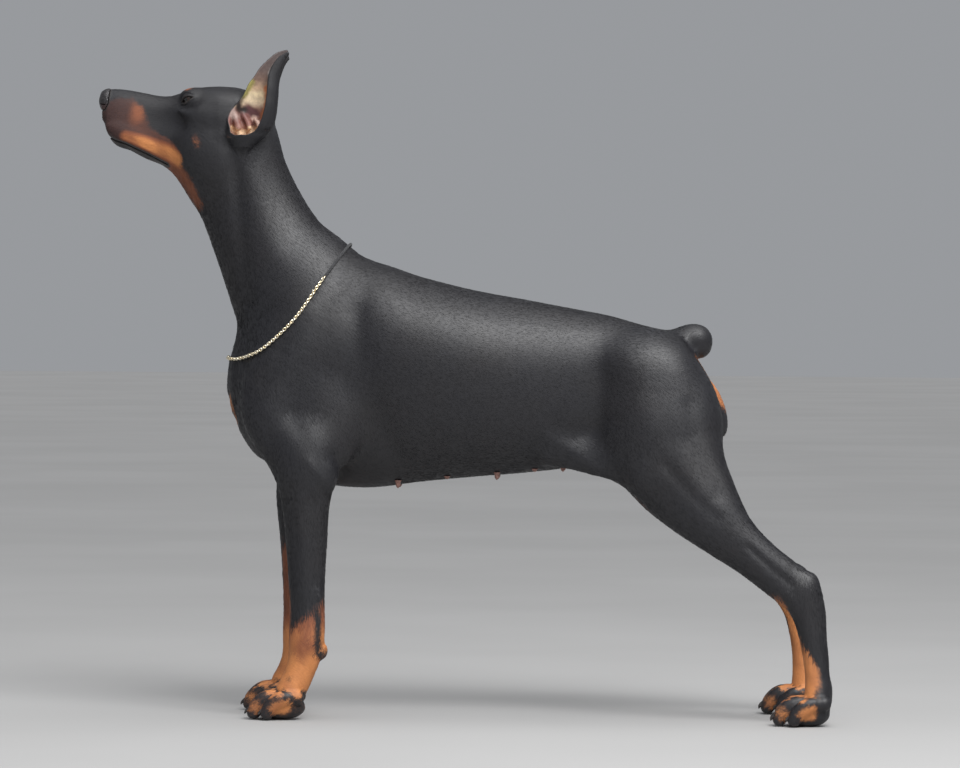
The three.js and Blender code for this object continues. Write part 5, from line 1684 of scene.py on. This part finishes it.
class Look:
    """A material under construction, with short ways to add and join its nodes."""

    def __init__(self, name, roughness, **fixed):
        self.mat = bpy.data.materials.new(name)
        self.mat.use_nodes = True
        self.tree = self.mat.node_tree
        self.shader = self.tree.nodes["Principled BSDF"]
        self.shader.inputs["Roughness"].default_value = roughness
        for socket, value in fixed.items():
            self.shader.inputs[socket.replace("_", " ")].default_value = value

    def node(self, kind, inputs=(), **settings):
        made = self.tree.nodes.new("ShaderNode" + kind)
        for key, value in settings.items():
            setattr(made, key, value)
        for key, value in dict(inputs).items():
            self.set(made.inputs[key], value)
        return made

    def set(self, socket, value):
        if isinstance(value, bpy.types.NodeSocket):
            self.tree.links.new(value, socket)
        elif isinstance(value, tuple) and len(value) == 3 and socket.type == "RGBA":
            socket.default_value = (*value, 1)
        else:
            socket.default_value = value

    def channels(self, name):
        attribute = self.node("Attribute", attribute_name=name)
        parts = self.node("SeparateColor", {"Color": attribute.outputs["Color"]})
        return (*parts.outputs, attribute.outputs["Alpha"])

    def place(self, scale=(1, 1, 1), turn=(0, 0, 0)):
        at = self.node("TexCoord").outputs["Object"]
        turned = self.node("Mapping", {"Vector": at, "Rotation": turn}).outputs[0]
        return self.node("Mapping", {"Vector": turned, "Scale": scale}).outputs[0]

    def noise(self, scale, detail=3, rough=0.55, at=None):
        made = self.node("TexNoise", {"Scale": scale, "Detail": detail, "Roughness": rough})
        self.set(made.inputs["Vector"], at or self.place())
        return made.outputs["Fac"]

    def math(self, operation, a, b):
        made = self.node("Math", operation=operation)
        self.set(made.inputs[0], a)
        self.set(made.inputs[1], b)
        return made.outputs[0]

    def plus(self, a, b, share):
        """a and a share of b."""
        return self.math("ADD", a, self.math("MULTIPLY", b, share))

    def ramp(self, value, low, high, to=(0, 1)):
        return self.node("MapRange", {"Value": value, "From Min": low, "From Max": high,
                                      "To Min": to[0], "To Max": to[1]},
                         interpolation_type="SMOOTHSTEP").outputs[0]

    def mix(self, share, a, b):
        made = self.node("Mix", data_type="RGBA")
        self.set(made.inputs["Factor"], share)
        self.set(made.inputs[6], a)
        self.set(made.inputs[7], b)
        return made.outputs[2]

    def mottle(self, value, a, b, low=0.3, high=0.7):
        """A colour that changes from a to b with a noise."""
        return self.mix(self.ramp(value, low, high), a, b)

    def bump(self, height, distance, strength, under=None):
        made = self.node("Bump", {"Height": height, "Distance": distance, "Strength": strength})
        if under is not None:
            self.set(made.inputs["Normal"], under)
        return made.outputs[0]

    def finish(self, colour=None, roughness=None, normal=None):
        for key, value in (("Base Color", colour), ("Roughness", roughness), ("Normal", normal)):
            if value is not None:
                self.set(self.shader.inputs[key], value)
        return self.mat


def coat_look():
    look = Look("coat", 0.5, Specular_IOR_Level=0.5)
    rust, bright, bare, ear = look.channels("marks")
    back, slanting, down, tone = look.channels("lay")

    # Fine streaks that run the way the hair points
    streaks = [look.noise(1.0, 4, 0.6, look.place((70, 700, 700), (0, turn, 0)))
               for turn in (0.12, -0.75, -1.5)]
    streak = look.math("MULTIPLY", streaks[0], back)
    streak = look.plus(streak, streaks[1], slanting)
    streak = look.plus(streak, streaks[2], down)
    broad = look.noise(9, 3)
    fine = look.noise(260, 3)
    edge = look.plus(rust, look.math("SUBTRACT", streak, 0.5), 0.7)
    edge = look.plus(edge, look.math("SUBTRACT", fine, 0.5), 0.3)
    rust = look.ramp(edge, 0.12, 0.88)

    black = look.mix(streak, (0.006, 0.006, 0.008), (0.015, 0.015, 0.019))
    black = look.mix(look.ramp(broad, 0.35, 0.7, (0, 0.35)), black, (0.012, 0.010, 0.010))
    maroon = look.mix(streak, (0.022, 0.009, 0.008), (0.062, 0.027, 0.024))
    brown = look.mix(streak, (0.14, 0.040, 0.018), (0.34, 0.110, 0.045))
    tan = look.mix(streak, (0.38, 0.125, 0.036), (0.76, 0.31, 0.105))
    pale = look.mix(bright, brown, (0.80, 0.45, 0.20))
    warm = look.mix(look.ramp(bright, 0.0, 0.5), maroon, brown)
    warm = look.mix(look.ramp(bright, 0.4, 0.95), warm, tan)
    warm = look.mix(look.ramp(tone, 0.5, 1.0, (0, 0.15)), warm, pale)
    colour = look.mix(rust, black, warm)
    # The ear's hollow, whose colour holds painted light and shade, mottled darker at random
    hollow = look.node("Attribute", attribute_name="hollow").outputs["Color"]
    shade = look.mix(0.35, hollow, (0.05, 0.025, 0.02))
    colour = look.mix(ear, colour, look.mottle(look.noise(150, 4, 0.65), shade, hollow))
    leather = look.mottle(fine, (0.010, 0.008, 0.008), (0.030, 0.024, 0.023))
    colour = look.mix(bare, colour, leather)

    rough = look.plus(look.ramp(streak, 0.2, 0.8, (0.37, 0.52)), tone, 0.08)
    rough = look.plus(rough, rust, 0.14)
    height = look.node("SeparateXYZ", {"Vector": look.place()}).outputs[2]
    rough = look.math("ADD", rough, look.ramp(height, 0.78, 0.88, (0, 0.10)))
    rough = look.plus(rough, bare, -0.06)
    normal = look.bump(streak, 0.0006, 0.5, look.bump(look.noise(28, 3), 0.002, 0.2))
    return look.finish(colour, rough, normal)


def nose_look():
    look = Look("nose", 0.3)
    cells = look.node("TexVoronoi", {"Scale": 900.0, "Vector": look.place()}).outputs["Distance"]
    colour = look.mottle(look.noise(300), (0.010, 0.009, 0.010), (0.032, 0.029, 0.031))
    height = look.node("SeparateXYZ", {"Vector": look.place()}).outputs[2]
    low = look.ramp(height, 0.904, 0.914, (0.75, 0))
    colour = look.mix(low, colour, (0.040, 0.017, 0.015))
    rough = look.ramp(look.noise(120), 0.3, 0.7, (0.26, 0.42))
    return look.finish(colour, rough, look.bump(cells, 0.0006, 0.7))


def eye_look():
    look = Look("eye", 0.05, Coat_Weight=1.0, Coat_Roughness=0.02, IOR=1.4)
    angle, turn, _, _ = look.channels("iris")
    rays = look.node("CombineXYZ", {"X": look.math("MULTIPLY", turn, 60.0), "Y": angle})
    fibres = look.noise(1.0, 4, 0.7, rays.outputs[0])
    brown = look.mottle(fibres, (0.007, 0.003, 0.002), (0.026, 0.010, 0.004))
    brown = look.mottle(angle, brown, (0.006, 0.003, 0.002), 0.52, 0.66)
    colour = look.mottle(angle, (0.001, 0.001, 0.001), brown, 0.24, 0.28)
    white = look.mottle(look.noise(200), (0.016, 0.009, 0.007), (0.030, 0.018, 0.015), 0.4, 0.6)
    return look.finish(look.mottle(angle, colour, white, 0.74, 0.80))


def claw_look():
    look = Look("claw", 0.3, Coat_Weight=0.15)
    lines = look.noise(1.0, 4, 0.6, look.place((60, 500, 500)))
    colour = look.mottle(lines, (0.010, 0.008, 0.008), (0.075, 0.065, 0.062), 0.35)
    rough = look.ramp(lines, 0.3, 0.7, (0.22, 0.42))
    return look.finish(colour, rough, look.bump(lines, 0.0004, 0.6))


def teat_look():
    look = Look("teat", 0.5)
    colour = look.mottle(look.noise(300), (0.16, 0.075, 0.06), (0.30, 0.16, 0.13))
    return look.finish(colour, None, look.bump(look.noise(500, 4), 0.0008, 0.6))


def chain_look():
    look = Look("chain", 0.22, Metallic=1.0)
    colour = look.mottle(look.noise(120), (0.84, 0.72, 0.48), (0.97, 0.90, 0.74), 0.35, 0.65)
    rough = look.ramp(look.noise(400), 0.3, 0.7, (0.16, 0.34))
    return look.finish(colour, rough, look.bump(look.noise(900), 0.0001, 0.5))


def cord_look():
    look = Look("cord", 0.75, Sheen_Weight=0.2)
    colour = look.mottle(look.noise(700), (0.008, 0.008, 0.009), (0.030, 0.030, 0.034))
    return look.finish(colour, None, look.bump(look.noise(1500, 3), 0.0004, 0.8))


def floor_look():
    look = Look("floor", 0.8)
    pale, paler = (0.365, 0.362, 0.358), (0.395, 0.392, 0.388)
    return look.finish(look.mottle(look.noise(0.8), pale, paler))


for pieces, material in (
        ([skin, *coat], coat_look()), ([nose], nose_look()), (eyes, eye_look()),
        (claws, claw_look()), ([teats], teat_look()), ([chain, rings], chain_look()),
        ([cord], cord_look()), ([floor], floor_look())):
    for piece in pieces:
        piece.data.materials.append(material)
